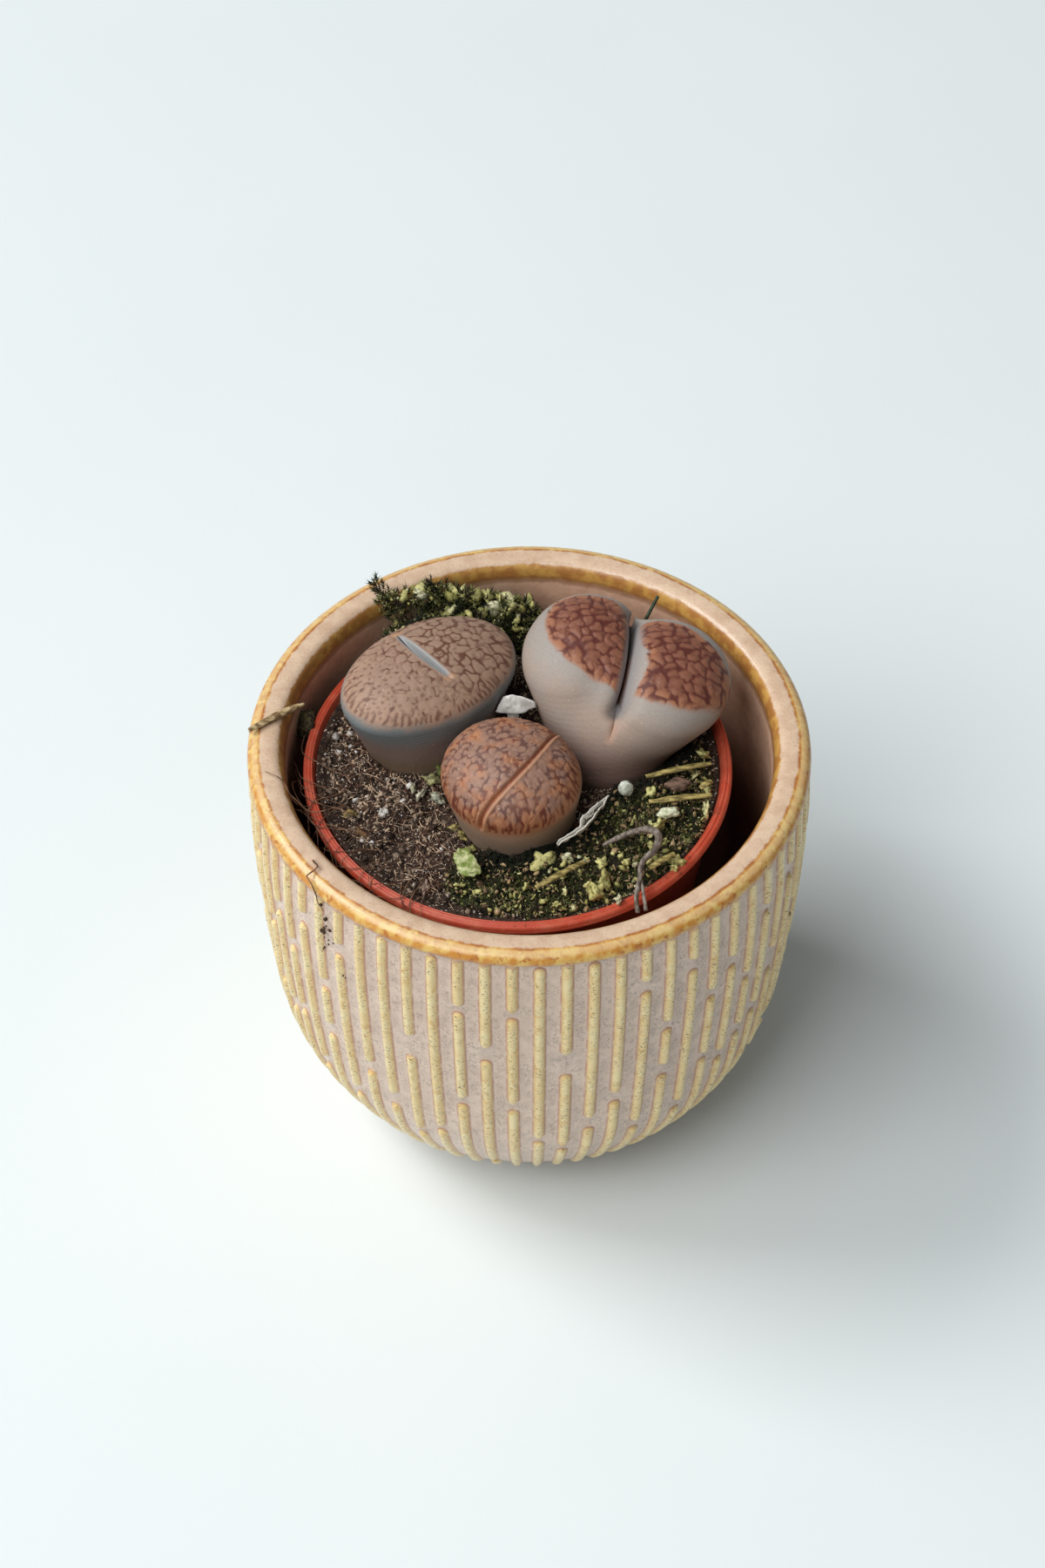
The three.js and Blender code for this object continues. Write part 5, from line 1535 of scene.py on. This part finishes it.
class LITHOPS_OT_roots(Operator):
    """Build the fine roots and hairs at the left rim and the curly root over the front-left rim"""
    bl_idname = "lithops.roots"
    bl_label = "Fine roots"

    def execute(self, context):
        chance = np.random.default_rng(19)
        paths = []
        for k in range(ROOT_COUNT):
            a = math.radians(184 + 62 * (k + chance.random()) / ROOT_COUNT)
            inner, outer = 24.5 - 3 * chance.random(), 28.4 + 2.4 * chance.random()
            b = a + (chance.random() - 0.45) * 0.8
            drop = 1.0 + 6.5 * chance.random() ** 2
            rim = 57.9 + 0.3 * chance.random()
            points = [(inner, a, 56.9), (26.9, (a * 2 + b) / 3, rim), (28.0, (a + b) / 2, rim - 0.25),
                      (outer - 0.6, b, 57.2 - drop * 0.5), (outer - 0.3, b + 0.05, 57.2 - drop)]
            line = path([(NURSERY_X + r * math.cos(t), NURSERY_Y + r * math.sin(t), z) for r, t, z in points], 22)
            away = np.hypot(line[:, 0], line[:, 1])
            line[:, :2] *= np.minimum(1, 30.9 / np.maximum(away, 1))[:, None]
            line += 0.16 * wander(line + k, 1.6)
            thick = 0.04 + 0.04 * chance.random() ** 2
            paths.append(with_radius(line, [thick, thick, thick * 0.8, thick * 0.4]))
        for loop in ROOT_LOOPS:
            paths.append(with_radius(path(loop, 30), [0.05, 0.09, 0.08, 0.05]))
        fine = strands("fine_roots", paths, 5)
        curly = strands("curly_root", [with_radius(path(CURLY_ROOT, 60), [0.1, 0.14, 0.09, 0.11, 0.08, 0.05])], 8)
        p = places(curly)
        move(curly, p + 0.08 * wander(p, 0.5))
        finish = plain_finish("root", rgb(162, 122, 94), rgb(92, 64, 50), 1.4, 0.6, 0.03)
        settle(fine, finish, "straw")
        settle(curly, finish, "bark")
        return {"FINISHED"}


class LITHOPS_OT_dirt(Operator):
    """Build the specks of dirt on the stoneware wall and the mossy lump between the pots"""
    bl_idname = "lithops.dirt"
    bl_label = "Dirt specks"

    def execute(self, context):
        chance = np.random.default_rng(29)
        depth = np.concatenate([5.2 + 7.5 * chance.random(16), 3.0 + 12 * chance.random(8)])
        angle = np.radians(np.concatenate([-45.6 + 3.2 * (chance.random(16) - 0.5),
                                           -44 + 9 * (chance.random(8) - 0.5)]))
        radius = curve(POT_WALL, POT_HEIGHT - depth) - 0.35
        at = np.column_stack([radius * np.sin(angle), -radius * np.cos(angle), POT_HEIGHT - depth])
        crumb = model_of(lump("speck", (0, 0, 0), (1, 1, 0.7), rough=0.35, grain=0.8, seed=8, detail=2))
        specks = copies("dirt_specks", crumb, at, at * (1, 1, 0), 0.13 + 0.24 * chance.random(len(at)) ** 2,
                        chance.random(len(at)), 7)
        settle(specks, crumb_finish("dirt", rgb(32, 24, 20), rgb(96, 72, 56)), "soil")
        clod = lump("mossy_clod", (-29.0, 8.2, 56.2), (1.5, 2.2, 2.0), 20, 0.35, 0.6, 9)
        settle(clod, plain_finish("mossy_soil", rgb(92, 84, 52), rgb(34, 28, 22), 0.5, 0.85, 0.3), "moss")
        return {"FINISHED"}


# Stage

class LITHOPS_OT_stage(Operator):
    """Set the pale floor, the window light, the light of the room and the camera"""
    bl_idname = "lithops.stage"
    bl_label = "Stage"

    def execute(self, context):
        look = context.scene.lithops_stage
        deselect()
        bpy.ops.mesh.primitive_plane_add(size=6)
        floor = take("floor")
        finish = Finish("pale_floor", Specular_IOR_Level=0.25, Roughness=0.55)
        colour = finish.blend(finish.noise(60, 2).ease(0.3, 0.7) * 0.3, linear(look.floor), rgb(230, 240, 243))
        finish.feed("Base Color", colour)
        floor.data.materials.append(finish.material)
        for (name, (place, size)), power in zip(LAMPS.items(), (look.window, look.room)):
            deselect()
            bpy.ops.object.light_add(type="AREA", location=place)
            lamp = take(name)
            lamp.data.shape = "SQUARE"
            lamp.data.size = size
            lamp.data.energy = power
            lamp.data.color = LAMP_COLOUR
            aim(lamp, LAMP_TARGET)
        world = bpy.data.worlds.new("room")
        world.use_nodes = True
        sky = next(node for node in world.node_tree.nodes if node.type == "BACKGROUND")
        sky.inputs["Color"].default_value = SKY_COLOUR
        sky.inputs["Strength"].default_value = look.fill
        context.scene.world = world
        context.scene.view_settings.view_transform = "Standard"
        deselect()
        bpy.ops.object.camera_add(location=CAMERA_PLACE, rotation=(math.radians(CAMERA_TILT), 0, 0))
        camera = take("camera")
        camera.data.lens = look.lens
        camera.data.sensor_width = 36
        camera.data.shift_x, camera.data.shift_y = CAMERA_SHIFT
        context.scene.camera = camera
        return {"FINISHED"}


def aim(lamp, target):
    """Turn a lamp towards a place."""
    away = np.array(target) - np.array(lamp.location)
    lamp.rotation_euler = (math.pi / 2 - math.atan2(-away[2], math.hypot(away[0], away[1])), 0,
                           math.atan2(away[1], away[0]) - math.pi / 2)


GROUPS = {"lithops_stoneware": StonewareLook, "lithops_plastic": PlasticLook, "lithops_plants": PlantLook,
          "lithops_ground": GroundLook, "lithops_stage": StageLook}
STEPS = [LITHOPS_OT_stage, LITHOPS_OT_outer_pot, LITHOPS_OT_nursery_pot, LITHOPS_OT_soil, LITHOPS_OT_plants,
         LITHOPS_OT_moss, LITHOPS_OT_husk, LITHOPS_OT_dry_leaf, LITHOPS_OT_stalks, LITHOPS_OT_grit,
         LITHOPS_OT_roots, LITHOPS_OT_dirt]


class LITHOPS_PT_panel(Panel):
    """Builders of the potted lithops"""
    bl_idname = "LITHOPS_PT_panel"
    bl_label = "Potted lithops"
    bl_space_type = "VIEW_3D"
    bl_region_type = "UI"
    bl_category = "Lithops"

    def draw(self, context):
        for name, group in GROUPS.items():
            box = self.layout.box()
            box.label(text=group.__doc__)
            for key in group.__annotations__:
                box.prop(getattr(context.scene, name), key)
        for step in STEPS:
            self.layout.operator(step.bl_idname)


def register():
    for kind in [*GROUPS.values(), *STEPS, LITHOPS_PT_panel]:
        bpy.utils.register_class(kind)
    for name, group in GROUPS.items():
        setattr(bpy.types.Scene, name, PointerProperty(type=group))


def unregister():
    for name in GROUPS:
        delattr(bpy.types.Scene, name)
    for kind in [LITHOPS_PT_panel, *reversed(STEPS), *GROUPS.values()]:
        bpy.utils.unregister_class(kind)


def main():
    register()
    for step in STEPS:
        group, name = step.bl_idname.split(".")
        getattr(getattr(bpy.ops, group), name)()
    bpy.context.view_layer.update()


if __name__ == "__main__":
    main()
